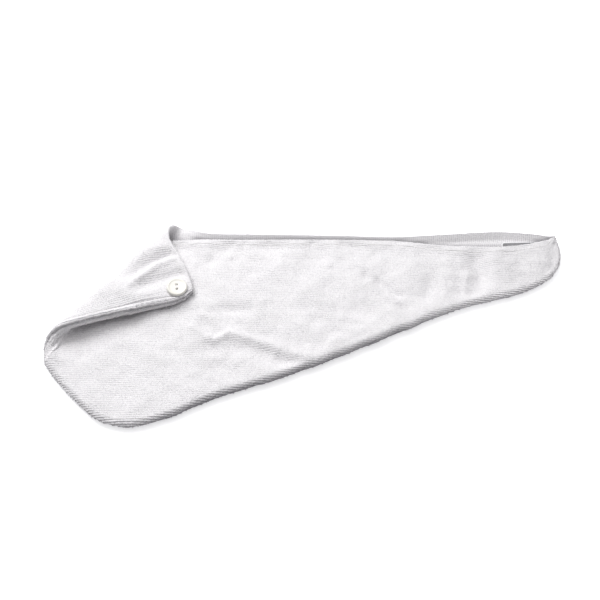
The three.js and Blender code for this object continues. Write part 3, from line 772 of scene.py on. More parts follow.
def tube(path, radius, sides):
    """A round tube along a path: at each point a ring of the given radius, square to the path. The
    ring's first direction is carried along from point to point by removing its part along the path.
    Returns points, triangles and quads."""
    tangent = unit(np.gradient(path, axis=0))
    first = np.cross(tangent[0], (0.31, 0.17, 0.93))
    firsts = np.empty_like(path)
    for k, t in enumerate(tangent):  # one step for each ring, not for each vertex
        first = first - t * (first @ t)
        first = first / np.linalg.norm(first)
        firsts[k] = first
    seconds = np.cross(tangent, firsts)
    angle = np.linspace(0, 2 * math.pi, sides, endpoint=False)
    ring = path[:, None] + radius * (
        firsts[:, None] * np.cos(angle)[None, :, None] + seconds[:, None] * np.sin(angle)[None, :, None])
    points = np.vstack([ring.reshape(-1, 3), path[:1], path[-1:]])
    base = len(path) * sides
    k = np.arange(sides)
    start = np.stack([k, (k + 1) % sides, np.full(sides, base)], -1)
    end = np.stack([(k + 1) % sides + base - sides, k + base - sides, np.full(sides, base + 1)], -1)
    return (points, *oriented(points, np.vstack([start, end]), ring_quads(len(path), sides)))


def joined(parts):
    """Several (points, triangles, quads) as one."""
    points, triangles, quads, base = [], [], [], 0
    for p, t, q in parts:
        points.append(p)
        triangles.append(t + base)
        quads.append(q + base)
        base += len(p)
    return np.vstack(points), np.vstack(triangles), np.vstack(quads)


def stitch_object(name, surface, shift, material):
    """Hem stitches as short capsules laid in the groove: each is a tube whose radius grows and shrinks
    with the sine of the way along it, and which dips into the cloth at both ends."""
    line = surface.hem + surface.way * (STITCH_INSET / HEM_WIDTH * surface.hem_width)[:, None]
    walked = np.concatenate([[0], np.cumsum(np.linalg.norm(np.diff(line, axis=0), axis=1))])
    starts = np.arange(STITCH_ENDS[0], walked[-1] - STITCH_ENDS[1], STITCH_PITCH)
    t = np.linspace(0, 1, STITCH_RINGS)
    along = starts[:, None] + t * STITCH_LENGTH
    spots = np.stack([np.interp(along, walked, line[:, k]) for k in range(2)], -1)
    place, normal, way, _, _, there = on_surface(surface, spots.reshape(-1, 2))
    keep = there.reshape(-1, STITCH_RINGS).all(1)
    place, normal, way = (a.reshape(-1, STITCH_RINGS, 3)[keep] for a in (place, unit(normal), unit(way)))
    side = np.cross(normal, way)
    arch = np.sin(math.pi * t)[None, :, None]
    centre = place + normal * (STITCH_RISE[0] + STITCH_RISE[1] * arch)
    radius = STITCH_WIDTH / 2 * lerp(STITCH_THINNEST, 1, arch)
    angle = np.linspace(0, 2 * math.pi, STITCH_SIDES, endpoint=False)[None, None, :, None]
    ring = centre[:, :, None] + radius[:, :, None] * (
        side[:, :, None] * np.cos(angle) + normal[:, :, None] * np.sin(angle))
    first_cap = np.array([(0, 1, 2, 3), (0, 3, 4, 5)])
    last_cap = STITCH_RINGS * STITCH_SIDES - STITCH_SIDES + first_cap[:, ::-1]
    faces = np.vstack([ring_quads(STITCH_RINGS, STITCH_SIDES), first_cap, last_cap])
    each = np.arange(len(ring))[:, None, None] * STITCH_RINGS * STITCH_SIDES
    points = ring.reshape(-1, 3) * MM + shift
    points[:, 2] = np.maximum(points[:, 2], OFF_FLOOR)
    triangles, quads = oriented(points, NO_FACES[3], (each + faces[None]).reshape(-1, 4))
    return mesh_object(name, points, triangles, quads, material)


# Materials

def new_material(name, roughness, **sockets):
    """A material with a Principled BSDF, whose named sockets are set to the given values."""
    material = bpy.data.materials.new(name)
    material.use_nodes = True
    shader = material.node_tree.nodes["Principled BSDF"]
    shader.inputs["Roughness"].default_value = roughness
    for socket, value in sockets.items():
        shader.inputs[socket.replace("_", " ")].default_value = value
    return material, material.node_tree, shader


def add_node(tree, kind, **settings):
    """A node of that kind. Settings that are sockets' names, with _ for a space, set their values, and
    a node or socket as a value is linked; others set the node's own properties."""
    node = tree.nodes.new(kind)
    for name, value in settings.items():
        if hasattr(node, name):
            setattr(node, name, value)
    for name, value in settings.items():
        if hasattr(node, name):
            continue
        socket = node.inputs[int(name[2:])] if name.startswith("in") and name[2:].isdigit() \
            else node.inputs[name.replace("_", " ")]
        if isinstance(value, bpy.types.NodeSocket):
            tree.links.new(value, socket)
        else:
            socket.default_value = value
    return node


def math_node(tree, operation, first, second=0.5, third=None):
    """The output of a Math node over values or sockets."""
    inputs = {"in0": first, "in1": second}
    if third is not None:
        inputs["in2"] = third
    return add_node(tree, "ShaderNodeMath", operation=operation, **inputs).outputs[0]


def color_mix(tree, share, first, second):
    """The output of a Mix node between two colours, each given as a value or as a socket."""
    node = add_node(tree, "ShaderNodeMix", data_type="RGBA", in0=share)
    for socket, color in ((node.inputs[6], first), (node.inputs[7], second)):
        if isinstance(color, bpy.types.NodeSocket):
            tree.links.new(color, socket)
        else:
            socket.default_value = (*color, 1)
    return node.outputs[2]


def add_bump(tree, shader, height, strength, depth):
    """Raises the shader's surface by the height socket, times depth in metres."""
    bump = add_node(tree, "ShaderNodeBump", Strength=strength, Distance=depth, Height=height)
    tree.links.new(bump.outputs[0], shader.inputs["Normal"])


def shaded(color, share):
    """The colour at that share of its light."""
    return [channel * share for channel in color]


def terry_group():
    """Terry loops: rows across the cloth's y, rounded cells along them for the loops, and fine fuzz.
    Height is the pile's height from 0 to 1, Hollow is the mask of painted shade between the loops, and
    Drift is a slow unevenness of the whole cloth."""
    group = bpy.data.node_groups.new("Terry loops", "ShaderNodeTree")
    face = group.interface
    face.new_socket("Cloth", in_out="INPUT", socket_type="NodeSocketVector")
    for name, value in (("Row pitch", 0.0027), ("Loop pitch", 0.0016)):
        face.new_socket(name, in_out="INPUT", socket_type="NodeSocketFloat").default_value = value
    for name in ("Height", "Hollow", "Drift"):
        face.new_socket(name, in_out="OUTPUT", socket_type="NodeSocketFloat")
    given = group.nodes.new("NodeGroupInput").outputs
    wander = add_node(group, "ShaderNodeTexNoise", Vector=given["Cloth"], Scale=90.0, Detail=1.0)
    split = add_node(group, "ShaderNodeSeparateXYZ", Vector=given["Cloth"])
    moved = math_node(group, "MULTIPLY_ADD", wander.outputs[0], 0.0008, split.outputs["Y"])
    row = math_node(group, "DIVIDE", moved, given["Row pitch"])
    step = math_node(group, "DIVIDE", split.outputs["X"], given["Loop pitch"])
    ridge = math_node(group, "MULTIPLY", math_node(group, "PINGPONG", row, 0.5), 2.0)
    ridge = math_node(group, "SINE", math_node(group, "MULTIPLY", ridge, math.pi / 2))
    cell = add_node(group, "ShaderNodeCombineXYZ", X=step, Y=row)
    loops = add_node(group, "ShaderNodeTexVoronoi", voronoi_dimensions="2D", feature="SMOOTH_F1",
                     Vector=cell.outputs[0], Scale=1.0, Smoothness=0.35, Randomness=0.75)
    away = math_node(group, "MULTIPLY", loops.outputs["Distance"], 1.3)
    dome = math_node(group, "SUBTRACT", 1.0, away)
    fuzz = add_node(group, "ShaderNodeTexNoise", Vector=given["Cloth"], Scale=1500.0, Detail=2.0)
    height = math_node(group, "MULTIPLY_ADD", ridge, 0.42, math_node(group, "MULTIPLY", dome, 0.42))
    height = math_node(group, "MULTIPLY_ADD", fuzz.outputs[0], 0.22, height)
    # Painted shade: the mask is full where the pile is low, between the loops.
    hollow_shade = add_node(group, "ShaderNodeMapRange", Value=height, From_Min=0.62, From_Max=0.12)
    drift = add_node(group, "ShaderNodeTexNoise", Vector=given["Cloth"], Scale=14.0, Detail=3.0)
    put = group.nodes.new("NodeGroupOutput").inputs
    group.links.new(height, put["Height"])
    group.links.new(hollow_shade.outputs[0], put["Hollow"])
    group.links.new(drift.outputs[0], put["Drift"])
    return group


def terry_material(cloth):
    """White terry: a slow drift between two whites, darkened by painted shade in the hollows between the
    loops and by painted shade along the sewn edge and inside the mouth, and raised by the loops."""
    material, tree, shader = new_material("White terry", 0.92, Sheen_Weight=0.12, Sheen_Roughness=0.6)
    uv = add_node(tree, "ShaderNodeUVMap", uv_map="Cloth")
    loops = tree.nodes.new("ShaderNodeGroup")
    loops.node_tree = bpy.data.node_groups.get("Terry loops") or terry_group()
    tree.links.new(uv.outputs[0], loops.inputs["Cloth"])
    loops.inputs["Row pitch"].default_value = cloth.row_pitch
    loops.inputs["Loop pitch"].default_value = cloth.loop_pitch
    # Painted shade: this attribute darkens the colour along the sewn edge and inside the mouth.
    painted_shade = add_node(tree, "ShaderNodeAttribute", attribute_name="Tuck")
    tone = color_mix(tree, loops.outputs["Drift"], cloth.terry_color, cloth.terry_warm_color)
    # Painted shade between the loops.
    tone = color_mix(tree, loops.outputs["Hollow"], tone, cloth.hollow_shade_color)
    tone = color_mix(tree, painted_shade.outputs["Fac"], tone, cloth.painted_shade_color)
    tree.links.new(tone, shader.inputs["Base Color"])
    add_bump(tree, shader, loops.outputs["Height"], 0.55, 0.0011)
    return material


def cached_material(name, make, *values):
    """The material of that name, made the first time that it is asked for."""
    return bpy.data.materials.get(name) or make(*values)


def grain_material(name, color, shade_color, roughness, scale, stretch, depth, **sockets):
    """A finish with a fine grain on Object coordinates: noise stretched by the given scales mixes two
    close colours, changes the roughness a little and raises the surface by depth metres."""
    material, tree, shader = new_material(name, roughness, **sockets)
    where = add_node(tree, "ShaderNodeTexCoord")
    mapped = add_node(tree, "ShaderNodeMapping", Vector=where.outputs["Object"], Scale=stretch)
    grain = add_node(tree, "ShaderNodeTexNoise", Vector=mapped.outputs[0], Scale=scale, Detail=3.0)
    tone = color_mix(tree, grain.outputs[0], color, shade_color)
    tree.links.new(tone, shader.inputs["Base Color"])
    rough = add_node(tree, "ShaderNodeMapRange", Value=grain.outputs[0],
                     To_Min=roughness - 0.06, To_Max=roughness + 0.08)
    tree.links.new(rough.outputs[0], shader.inputs["Roughness"])
    add_bump(tree, shader, grain.outputs[0], 0.5, depth)
    return material


# Settings

class TurbanClothSettings(bpy.types.PropertyGroup):
    """Sizes and colours of the terry."""

    crease_height: FloatProperty(
        name="Crease height", description="Height of the deepest crease", default=0.004,
        min=0.0, max=0.01, subtype="DISTANCE", unit="LENGTH")
    unevenness: FloatProperty(
        name="Unevenness", description="Height of the soft waves of the cloth", default=0.0022,
        min=0.0, max=0.005, subtype="DISTANCE", unit="LENGTH")
    pucker: FloatProperty(
        name="Pucker", description="Height of the puckers along the hem and seam", default=0.0009,
        min=0.0, max=0.003, subtype="DISTANCE", unit="LENGTH")
    seam_groove: FloatProperty(
        name="Seam groove", description="Depth of the groove between the two panels", default=0.0016,
        min=0.0, max=0.003, subtype="DISTANCE", unit="LENGTH")
    stitch_depth: FloatProperty(
        name="Stitch depth", description="Depth of the groove that the hem stitches pull",
        default=0.0002, min=0.0, max=0.002, subtype="DISTANCE", unit="LENGTH")
    band_depth: FloatProperty(
        name="Band depth", description="Depth of the groove beside the flap's sewn edge", default=0.0015,
        min=0.0, max=0.002, subtype="DISTANCE", unit="LENGTH")
    roll_swelling: FloatProperty(
        name="Roll swelling", description="How far the front panel swells inside the roll's sewn end",
        default=0.0055, min=0.0, max=0.01, subtype="DISTANCE", unit="LENGTH")
    hem_curl: FloatProperty(
        name="Hem curl", description="How far the back hem stands up behind the front one",
        default=0.006, min=0.0, max=0.01, subtype="DISTANCE", unit="LENGTH")
    row_height: FloatProperty(
        name="Row height", description="Height of the knit rows where they bend over the sewn edge",
        default=0.0008, min=0.0, max=0.002, subtype="DISTANCE", unit="LENGTH")
    row_pitch: FloatProperty(
        name="Row pitch", description="Distance between knit rows", default=0.0027,
        min=0.001, max=0.01, subtype="DISTANCE", unit="LENGTH")
    loop_pitch: FloatProperty(
        name="Loop pitch", description="Distance between loops along a row", default=0.0019,
        min=0.001, max=0.01, subtype="DISTANCE", unit="LENGTH")
    pile_height: FloatProperty(
        name="Pile height", description="Height of the terry loops", default=0.0009,
        min=0.0, max=0.004, subtype="DISTANCE", unit="LENGTH")
    terry_color: FloatVectorProperty(
        name="Terry", description="Colour of the loops", default=(0.80, 0.782, 0.797),
        subtype="COLOR", min=0.0, max=1.0)
    terry_warm_color: FloatVectorProperty(
        name="Terry, warmer", description="Colour of the loops where the cloth is warmer",
        default=(0.81, 0.797, 0.802), subtype="COLOR", min=0.0, max=1.0)
    # Colour of the painted shade between the loops.
    hollow_shade_color: FloatVectorProperty(
        name="Hollow shade", description="Colour between the loops", default=(0.60, 0.58, 0.61),
        subtype="COLOR", min=0.0, max=1.0)
    # Colour of the painted shade along the sewn edge and between the hems inside the mouth.
    painted_shade_color: FloatVectorProperty(
        name="Tucked", description="Colour of the pile that is tucked into the seam",
        default=(0.2, 0.19, 0.21), subtype="COLOR", min=0.0, max=1.0)


class TurbanTrimSettings(bpy.types.PropertyGroup):
    """Sizes and colours of the button, thread and elastic."""

    button_color: FloatVectorProperty(
        name="Button", description="Colour of the ivory button", default=(0.83, 0.81, 0.75),
        subtype="COLOR", min=0.0, max=1.0)
    button_sides: IntProperty(
        name="Button steps", description="Steps round the button's edge", default=96, min=24, max=192)
    thread_color: FloatVectorProperty(
        name="Thread", description="Colour of the sewing thread", default=(0.92, 0.91, 0.89),
        subtype="COLOR", min=0.0, max=1.0)
    elastic_color: FloatVectorProperty(
        name="Elastic", description="Colour of the elastic tape", default=(0.93, 0.93, 0.94),
        subtype="COLOR", min=0.0, max=1.0)


class TurbanStageSettings(bpy.types.PropertyGroup):
    """Camera, lights and floor."""

    camera_elevation: FloatProperty(
        name="Camera elevation", description="Angle above the floor", default=math.radians(54),
        subtype="ANGLE", unit="ROTATION")
    camera_distance: FloatProperty(
        name="Camera distance", description="Distance from the aimed point", default=0.8104,
        subtype="DISTANCE", unit="LENGTH")
    key_power: FloatProperty(
        name="Key light", description="Power of the light at the upper left, behind", default=33.0,
        subtype="POWER", unit="POWER")
    top_power: FloatProperty(
        name="Top light", description="Power of the wide soft light overhead", default=12.0,
        subtype="POWER", unit="POWER")
    sky_strength: FloatProperty(
        name="Sky strength", description="Strength of the even light all round", default=0.33,
        min=0.0, max=5.0)
    floor_color: FloatVectorProperty(
        name="Floor", description="Colour of the floor", default=(0.93, 0.93, 0.935),
        subtype="COLOR", min=0.0, max=1.0)
    floor_glow: FloatProperty(
        name="Floor glow", description="Light of the floor's own, as of a light table", default=0.55,
        min=0.0, max=1.0)


def both_panels(context):
    """The two panels' surfaces and the pattern's place in the frame."""
    cloth = context.scene.turban_cloth
    front, back = PanelSurface(True, cloth), PanelSurface(False, cloth)
    return front, back, frame_shift(front, back)


# Operators

class TURBAN_OT_pile(bpy.types.Operator):
    """Builds the terry loops on the outsides of both panels"""

    bl_idname = "turban.pile"
    bl_label = "Terry pile"

    def execute(self, context):
        cloth = context.scene.turban_cloth
        terry = cached_material("White terry", terry_material, cloth)
        front, back, shift = both_panels(context)
        for name, surface, seed in (("front_pile", front, 5), ("back_pile", back, 6)):
            piece = pile_object(name, surface, shift, cloth, terry, seed)
            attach(piece, "root")
        return {"FINISHED"}


class TURBAN_OT_stitches(bpy.types.Operator):
    """Builds the hem stitches of both panels"""

    bl_idname = "turban.stitches"
    bl_label = "Hem stitches"

    def execute(self, context):
        thread = cached_material("Sewing thread", thread_material, context.scene.turban_trim)
        front, back, shift = both_panels(context)
        for name, surface in (("front_stitches", front), ("back_stitches", back)):
            piece = stitch_object(name, surface, shift, thread)
            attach(piece, "root")
        return {"FINISHED"}


class TURBAN_OT_panels(bpy.types.Operator):
    """Builds the front and back panels, hides the imported ones, and works out the size of their cut
    cloth
    """

    bl_idname = "turban.panels"
    bl_label = "Terry panels"

    def execute(self, context):
        cloth = context.scene.turban_cloth
        terry = cached_material("White terry", terry_material, cloth)
        front, back, shift = both_panels(context)
        for name, surface, under in (("front", front, ["back_cloth"]), ("back", back, [])):
            piece = panel_object(f"{name}_cloth", surface, shift, terry)
            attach(piece, "root")
            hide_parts(f"{name}_panel")
            width, length, area = surface.flat_size()
        return {"FINISHED"}


def thread_material(trim):
    """Cotton thread with fine twisted grain."""
    return grain_material("Sewing thread", trim.thread_color, shaded(trim.thread_color, 0.86),
                          0.75, 2600.0, (1, 1, 1), 0.0001)


def button_frame():
    """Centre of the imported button's underside, and the directions of its holes, its side and its face,
    from the flat faces and the holes of the CAD node."""
    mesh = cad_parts["button"].data
    points = np.empty(len(mesh.vertices) * 3, np.float32)
    mesh.vertices.foreach_get("co", points)
    points = np.unique(points.reshape(-1, 3).astype(float).round(6), axis=0)
    centre = (points.max(0) + points.min(0)) / 2
    area = np.empty(len(mesh.polygons), np.float32)
    normal = np.empty(len(mesh.polygons) * 3, np.float32)
    mesh.polygons.foreach_get("area", area)
    mesh.polygons.foreach_get("normal", normal)
    normal = normal.reshape(-1, 3).astype(float)
    face = normal[np.argmax(area)]
    face = unit(np.sum(normal * (area * (np.abs(normal @ face) > 0.999))[:, None]
                       * np.sign(normal @ face)[:, None], axis=0))
    if face[2] < 0:
        face = -face
    flat = points - centre
    inner = flat - np.outer(flat @ face, face)
    near = np.linalg.norm(inner, axis=1) < HOLES_WITHIN
    _, _, axes = np.linalg.svd(inner[near] - inner[near].mean(0))
    holes = unit(axes[0] - face * (axes[0] @ face))
    if holes[1] < 0:
        holes = -holes
    height = flat @ face
    centre = centre + face * height.min()
    return centre, holes, np.cross(face, holes), face


def button_height(r):
    """Height of the button's face over its underside: a shallow dish, a rounded rim that stands
    proud of it, and a quarter circle down to the edge."""
    dish = BUTTON_FACE + BUTTON_RISE * (r / BUTTON_DISH) ** 2
    over_rim = np.clip((r - BUTTON_DISH) / (BUTTON_RADIUS - BUTTON_DISH), 0, 1)
    rim = BUTTON_RIM * np.sin(math.pi * over_rim) ** 1.2
    over_edge = ((r - BUTTON_RADIUS + BUTTON_EDGE) / BUTTON_EDGE).clip(0, 1)
    return BUTTON_FOOT + (dish + rim - BUTTON_FOOT) * np.sqrt(1 - over_edge**2)


def button_parts(sides):
    """The button as grids: in each half, the dish between its hole's edge and a loop made of half the
    dish's circle and the middle line, then round the whole the rim, the side and the underside, and
    the walls of the holes."""
    steps = sides // 2
    arc = np.linspace(-math.pi / 2, math.pi / 2, steps + 1)
    line = np.linspace(1, -1, steps // 2 + 1)[1:-1]
    loop = np.vstack([np.stack([np.cos(arc), np.sin(arc)], -1),
                      np.stack([0 * line, line], -1)]) * BUTTON_DISH
    parts = []
    around = len(loop)
    for mirror in (1, -1):
        flip = np.array([mirror, 1])
        middle = np.array([BUTTON_HOLE_SPACING / 2, 0.0])
        ray = unit(loop - middle)
        hole = middle + ray * BUTTON_HOLE
        t = np.linspace(0, 1, 15)[:, None, None] ** 1.3
        flat = lerp(hole[None], loop[None], t) * flip
        away = np.linalg.norm(flat / flip - middle, axis=2)
        soft = HOLE_EDGE * bell(away - BUTTON_HOLE, HOLE_EDGE)
        top = button_height(np.linalg.norm(flat, axis=2)) - soft
        face = np.concatenate([flat, top[..., None]], -1)
        under = np.concatenate([flat, 0 * top[..., None]], -1)
        wall_z = np.linspace(top[0].mean(), 0, 7)[:, None]
        wall = np.concatenate([np.broadcast_to(flat[0], (7, around, 2)),
                               np.broadcast_to(wall_z[..., None], (7, around, 1))], -1)
        wall[0] = face[0]
        parts += [grid_part(face, True), grid_part(under, True), grid_part(wall, True)]
    angle = np.linspace(0, 2 * math.pi, 2 * steps, endpoint=False) - math.pi / 2
    flat_end, foot = BUTTON_RADIUS - BUTTON_EDGE, BUTTON_RADIUS - BUTTON_FOOT
    r = np.concatenate([np.linspace(BUTTON_DISH, flat_end, 14, endpoint=False),
                        flat_end + BUTTON_EDGE * np.sin(np.linspace(0, math.pi / 2, 9))])
    z = button_height(r)
    low = np.linspace(0, math.pi / 2, 7)[1:]
    r = np.concatenate([r, foot + BUTTON_FOOT * np.cos(low), [BUTTON_DISH]])
    z = np.concatenate([z, BUTTON_FOOT - BUTTON_FOOT * np.sin(low), [0.0]])
    ring = np.stack([r[:, None] * np.cos(angle), r[:, None] * np.sin(angle), z[:, None] + 0 * angle], -1)
    parts.append(grid_part(ring, True))
    return parts


def grid_part(points, around):
    """A grid of points as (points, triangles, quads), closed on itself in its second direction if
    around is true."""
    return points.reshape(-1, 3), NO_FACES[3], ring_quads(*points.shape[:2], around)[:, ::-1]


def weld(piece, distance):
    """Merges the points of a piece that lie on each other and turns all its faces outwards."""
    work = bmesh.new()
    work.from_mesh(piece.data)
    bmesh.ops.remove_doubles(work, verts=work.verts, dist=distance)
    bmesh.ops.recalc_face_normals(work, faces=work.faces)
    work.to_mesh(piece.data)
    work.free()
    piece.data.polygons.foreach_set("use_smooth", np.ones(len(piece.data.polygons), bool))
    piece.data.update()


class TURBAN_OT_button(bpy.types.Operator):
    """Builds the two-hole button"""

    bl_idname = "turban.button"
    bl_label = "Button"

    def execute(self, context):
        trim = context.scene.turban_trim
        centre, holes, side, face = button_frame()
        points, triangles, quads = joined(button_parts(trim.button_sides))
        points = points @ np.stack([holes, side, face]) * MM + centre
        ivory = grain_material("Ivory button", trim.button_color, shaded(trim.button_color, 0.95),
                               0.3, 160.0, (1, 1, 4), 0.00008, Coat_Weight=0.25, Coat_Roughness=0.15)
        piece = mesh_object("ivory_button", points, triangles, quads, ivory)
        weld(piece, 2e-6)
        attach(piece, "root")
        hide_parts("button")
        return {"FINISHED"}


def strand(lane, twist):
    """One strand of the sewing thread: a tube that arches from hole to hole as a low parabola, turns
    down into both, and winds a little round its path."""
    t = np.linspace(-1, 1, STRAND_STEPS)
    x = np.clip(t * STRAND_REACH, -1, 1) * BUTTON_HOLE_SPACING / 2
    drop = np.maximum(np.abs(t * STRAND_REACH) - STRAND_BEND, 0)
    z = STRAND_TOP - 0.25 * t**2 - 5 * drop**1.25
    y = lane * (1 - 0.3 * np.abs(t)) + 0.08 * np.sin(9 * t + twist)
    path = np.stack([x, y, z + 0.1 * np.cos(9 * t + twist)], -1)
    return tube(path, STRAND_RADIUS, STRAND_SIDES)


class TURBAN_OT_thread(bpy.types.Operator):
    """Builds the sewing thread through the button's holes"""

    bl_idname = "turban.thread"
    bl_label = "Button thread"

    def execute(self, context):
        trim = context.scene.turban_trim
        centre, holes, side, face = button_frame()
        points, triangles, quads = joined([strand(*each) for each in STRANDS])
        points = points @ np.stack([holes, side, face]) * MM + centre
        thread = cached_material("Sewing thread", thread_material, trim)
        piece = mesh_object("button_stitches", points, triangles, quads, thread)
        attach(piece, "root")
        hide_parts("button_thread")
        return {"FINISHED"}


class TURBAN_OT_tail_loop(bpy.types.Operator):
    """Builds the elastic loop in the tail's mouth"""

    bl_idname = "turban.tail_loop"
    bl_label = "Elastic loop"

    def execute(self, context):
        trim = context.scene.turban_trim
        low, high = (np.array(corner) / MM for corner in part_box("tail_loop"))
        elastic = elastic_material(trim)
        points, triangles, quads = elastic_tape(low, high)
        points = points + LOOP_SHIFT
        piece = mesh_object("elastic_loop", points * MM, triangles, quads, elastic)
        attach(piece, "root")
        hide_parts("tail_loop")
        return {"FINISHED"}


def elastic_tape(low, high):
    """A flat tape on edge along a hairpin path: two straight runs and a half circle. Its section is a
    rounded rectangle whose long sides are slightly ribbed by the rubber cores, and both ends run into
    the sewn root, where the tape's two runs lie side by side."""
    length = high[0] - low[0]
    half = (high[1] - low[1] - length * math.sin(LOOP_TURN - math.pi)) / 2 - LOOP_TAPE / 2
    bend = length - half - LOOP_TAPE / 2
    straight = bend - LOOP_END
    total = 2 * straight + math.pi * half
    s = np.linspace(0, total, LOOP_PATH_STEPS)
    arc = np.clip((s - straight) / half, 0, math.pi)
    x = np.where(s > total - straight, total - s + LOOP_END, bend + half * np.sin(arc))
    x = np.where(s < straight, s + LOOP_END, x)
    y = np.where(s < straight, -half, np.where(s > total - straight, half, -half * np.cos(arc)))
    y = y * lerp(LOOP_TAPE * LOOP_ROOT / half, 1, smoothstep(x, 0.0, LOOP_PINCH))
    path = np.stack([x, y], -1)
    way = unit(np.gradient(path, axis=0))
    out = np.stack([way[:, 1], -way[:, 0]], -1)
    angle = np.linspace(0, 2 * math.pi, LOOP_SIDES, endpoint=False)
    tall = (high[2] - low[2]) / 2
    wide = np.sign(np.cos(angle)) * np.abs(np.cos(angle)) ** 0.35 * LOOP_TAPE / 2
    high_way = np.sign(np.sin(angle)) * np.abs(np.sin(angle)) ** 0.8 * tall
    wide = wide * (1 - LOOP_CORD_DEPTH * np.cos(high_way / tall * LOOP_CORDS * math.pi) ** 2)
    ring = path[:, None] + out[:, None] * wide[None, :, None]
    points = np.concatenate([ring, np.broadcast_to(high_way[None, :, None], (*ring.shape[:2], 1))], -1)
    rows, columns = points.shape[:2]
    shell = grid_part(points, True)
    k = np.arange(1, columns - 1)
    start = np.stack([0 * k, k + 1, k], -1)
    end = np.stack([0 * k, k, k + 1], -1) + (rows - 1) * columns
    flat, triangles, quads = shell[0], np.vstack([start, end]), shell[2]
    turned = flat[:, :2] @ np.array([[math.cos(LOOP_TURN), math.sin(LOOP_TURN)],
                                     [-math.sin(LOOP_TURN), math.cos(LOOP_TURN)]])
    flat = np.column_stack([turned, flat[:, 2]])
    middle = (low + high) / 2
    flat = flat + middle - (flat.max(0) + flat.min(0)) / 2
    return (flat, *oriented(flat, triangles, quads))


def elastic_material(trim):
    """Woven elastic: fine ribs across the tape's height and a weave along it."""
    material, tree, shader = new_material("Woven elastic", 0.6)
    where = add_node(tree, "ShaderNodeTexCoord")
    ribs = add_node(tree, "ShaderNodeTexWave", bands_direction="Z", Vector=where.outputs["Object"],
                    Scale=420.0, Distortion=0.6)
    weave = add_node(tree, "ShaderNodeTexWave", bands_direction="X", Vector=where.outputs["Object"],
                     Scale=520.0, Distortion=0.8)
    height = math_node(tree, "MULTIPLY_ADD", weave.outputs["Fac"], 0.4, ribs.outputs["Fac"])
    tone = color_mix(tree, ribs.outputs["Fac"], shaded(trim.elastic_color, 0.85), trim.elastic_color)
    tree.links.new(tone, shader.inputs["Base Color"])
    add_bump(tree, shader, height, 0.6, 0.0003)
    return material


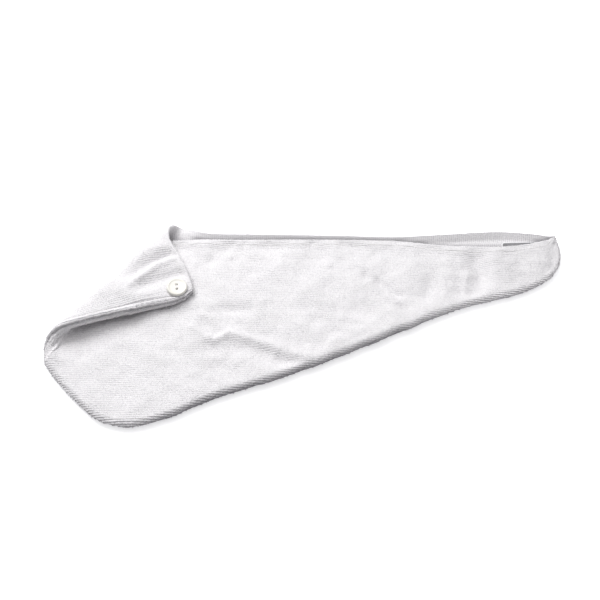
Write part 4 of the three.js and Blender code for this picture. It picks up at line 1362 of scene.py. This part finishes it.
class TURBAN_OT_stage(bpy.types.Operator):
    """Builds the floor, the lights and the camera"""

    bl_idname = "turban.stage"
    bl_label = "Stage"

    def execute(self, context):
        stage = context.scene.turban_stage
        self.make_camera(context, stage)
        self.make_floor(stage)
        self.make_lights(context, stage)
        return {"FINISHED"}

    def make_camera(self, context, stage):
        """The camera looks at the aimed point from the photographed elevation."""
        rise, turn = stage.camera_elevation, CAMERA_TURN
        right = Vector((math.cos(turn), math.sin(turn), 0))
        level = math.cos(rise)
        back = Vector((math.sin(turn) * level, -math.cos(turn) * level, math.sin(rise)))
        up = back.cross(right)
        lens = bpy.data.cameras.new("Camera")
        lens.lens = CAMERA_LENS
        lens.sensor_width = CAMERA_SENSOR
        camera = bpy.data.objects.new("Camera", lens)
        spot = Vector(CAMERA_AIM) + back * stage.camera_distance
        camera.matrix_world = Matrix.Translation(spot) @ Matrix((right, up, back)).transposed().to_4x4()
        context.scene.collection.objects.link(camera)
        context.scene.camera = camera

    def make_floor(self, stage):
        """A large plane just under the towel, with a faint paper-like mottling."""
        points = np.array([(-1, -1, 0), (1, -1, 0), (1, 1, 0), (-1, 1, 0)]) * FLOOR_HALF
        material = grain_material("Floor", stage.floor_color, shaded(stage.floor_color, 0.985),
                                  0.8, 3.0, (1, 1, 1), 0.00002)
        shader = material.node_tree.nodes["Principled BSDF"]
        shader.inputs["Emission Color"].default_value = (*stage.floor_color, 1)
        shader.inputs["Emission Strength"].default_value = stage.floor_glow
        floor = mesh_object("floor", points, NO_FACES[3], np.array([(0, 1, 2, 3)]), material)

    def make_lights(self, context, stage):
        """A key light at the upper left and behind, a wide soft one overhead, and a dim even sky."""
        lights = (
            ("Key", stage.key_power, KEY_SPOT, KEY_SIZE),
            ("Top", stage.top_power, TOP_SPOT, TOP_SIZE),
        )
        for name, power, spot, size in lights:
            lamp = bpy.data.lights.new(name, "AREA")
            lamp.energy = power
            lamp.shape = "DISK"
            lamp.size = size
            light = bpy.data.objects.new(name, lamp)
            light.location = spot
            light.rotation_euler = (-Vector(spot)).to_track_quat("-Z", "Y").to_euler()
            context.scene.collection.objects.link(light)
        world = bpy.data.worlds.new("Studio")
        world.use_nodes = True
        sky = world.node_tree.nodes["Background"]
        sky.inputs["Color"].default_value = SKY_COLOR
        sky.inputs["Strength"].default_value = stage.sky_strength
        context.scene.world = world
        context.scene.view_settings.view_transform = "Standard"


class TURBAN_PT_sidebar(bpy.types.Panel):
    """Lists the turban's settings and steps in the 3D view's sidebar"""

    bl_label = "Hair turban towel"
    bl_idname = "TURBAN_PT_sidebar"
    bl_space_type = "VIEW_3D"
    bl_region_type = "UI"
    bl_category = "Turban"

    def draw(self, context):
        for name in SETTINGS:
            settings = getattr(context.scene, name)
            box = self.layout.box()
            for field in settings.bl_rna.properties:
                if field.identifier not in ("name", "rna_type"):
                    box.prop(settings, field.identifier)
        for step in STEPS:
            self.layout.operator(step.bl_idname)


SETTINGS = {
    "turban_cloth": TurbanClothSettings,
    "turban_trim": TurbanTrimSettings,
    "turban_stage": TurbanStageSettings,
}
# The order in which the pieces are built.
STEPS = (
    TURBAN_OT_pile,
    TURBAN_OT_stitches,
    TURBAN_OT_panels,
    TURBAN_OT_button,
    TURBAN_OT_thread,
    TURBAN_OT_tail_loop,
    TURBAN_OT_stage,
)


def register():
    """Registers the settings, operators and panel."""
    for kind in (*SETTINGS.values(), *STEPS, TURBAN_PT_sidebar):
        bpy.utils.register_class(kind)
    for name, kind in SETTINGS.items():
        setattr(bpy.types.Scene, name, PointerProperty(type=kind))


def unregister():
    """Removes what register added."""
    for name in SETTINGS:
        delattr(bpy.types.Scene, name)
    for kind in reversed((*SETTINGS.values(), *STEPS, TURBAN_PT_sidebar)):
        bpy.utils.unregister_class(kind)


def main():
    register()
    for step in STEPS:
        group, name = step.bl_idname.split(".")
        getattr(getattr(bpy.ops, group), name)()


if __name__ == "__main__":
    main()
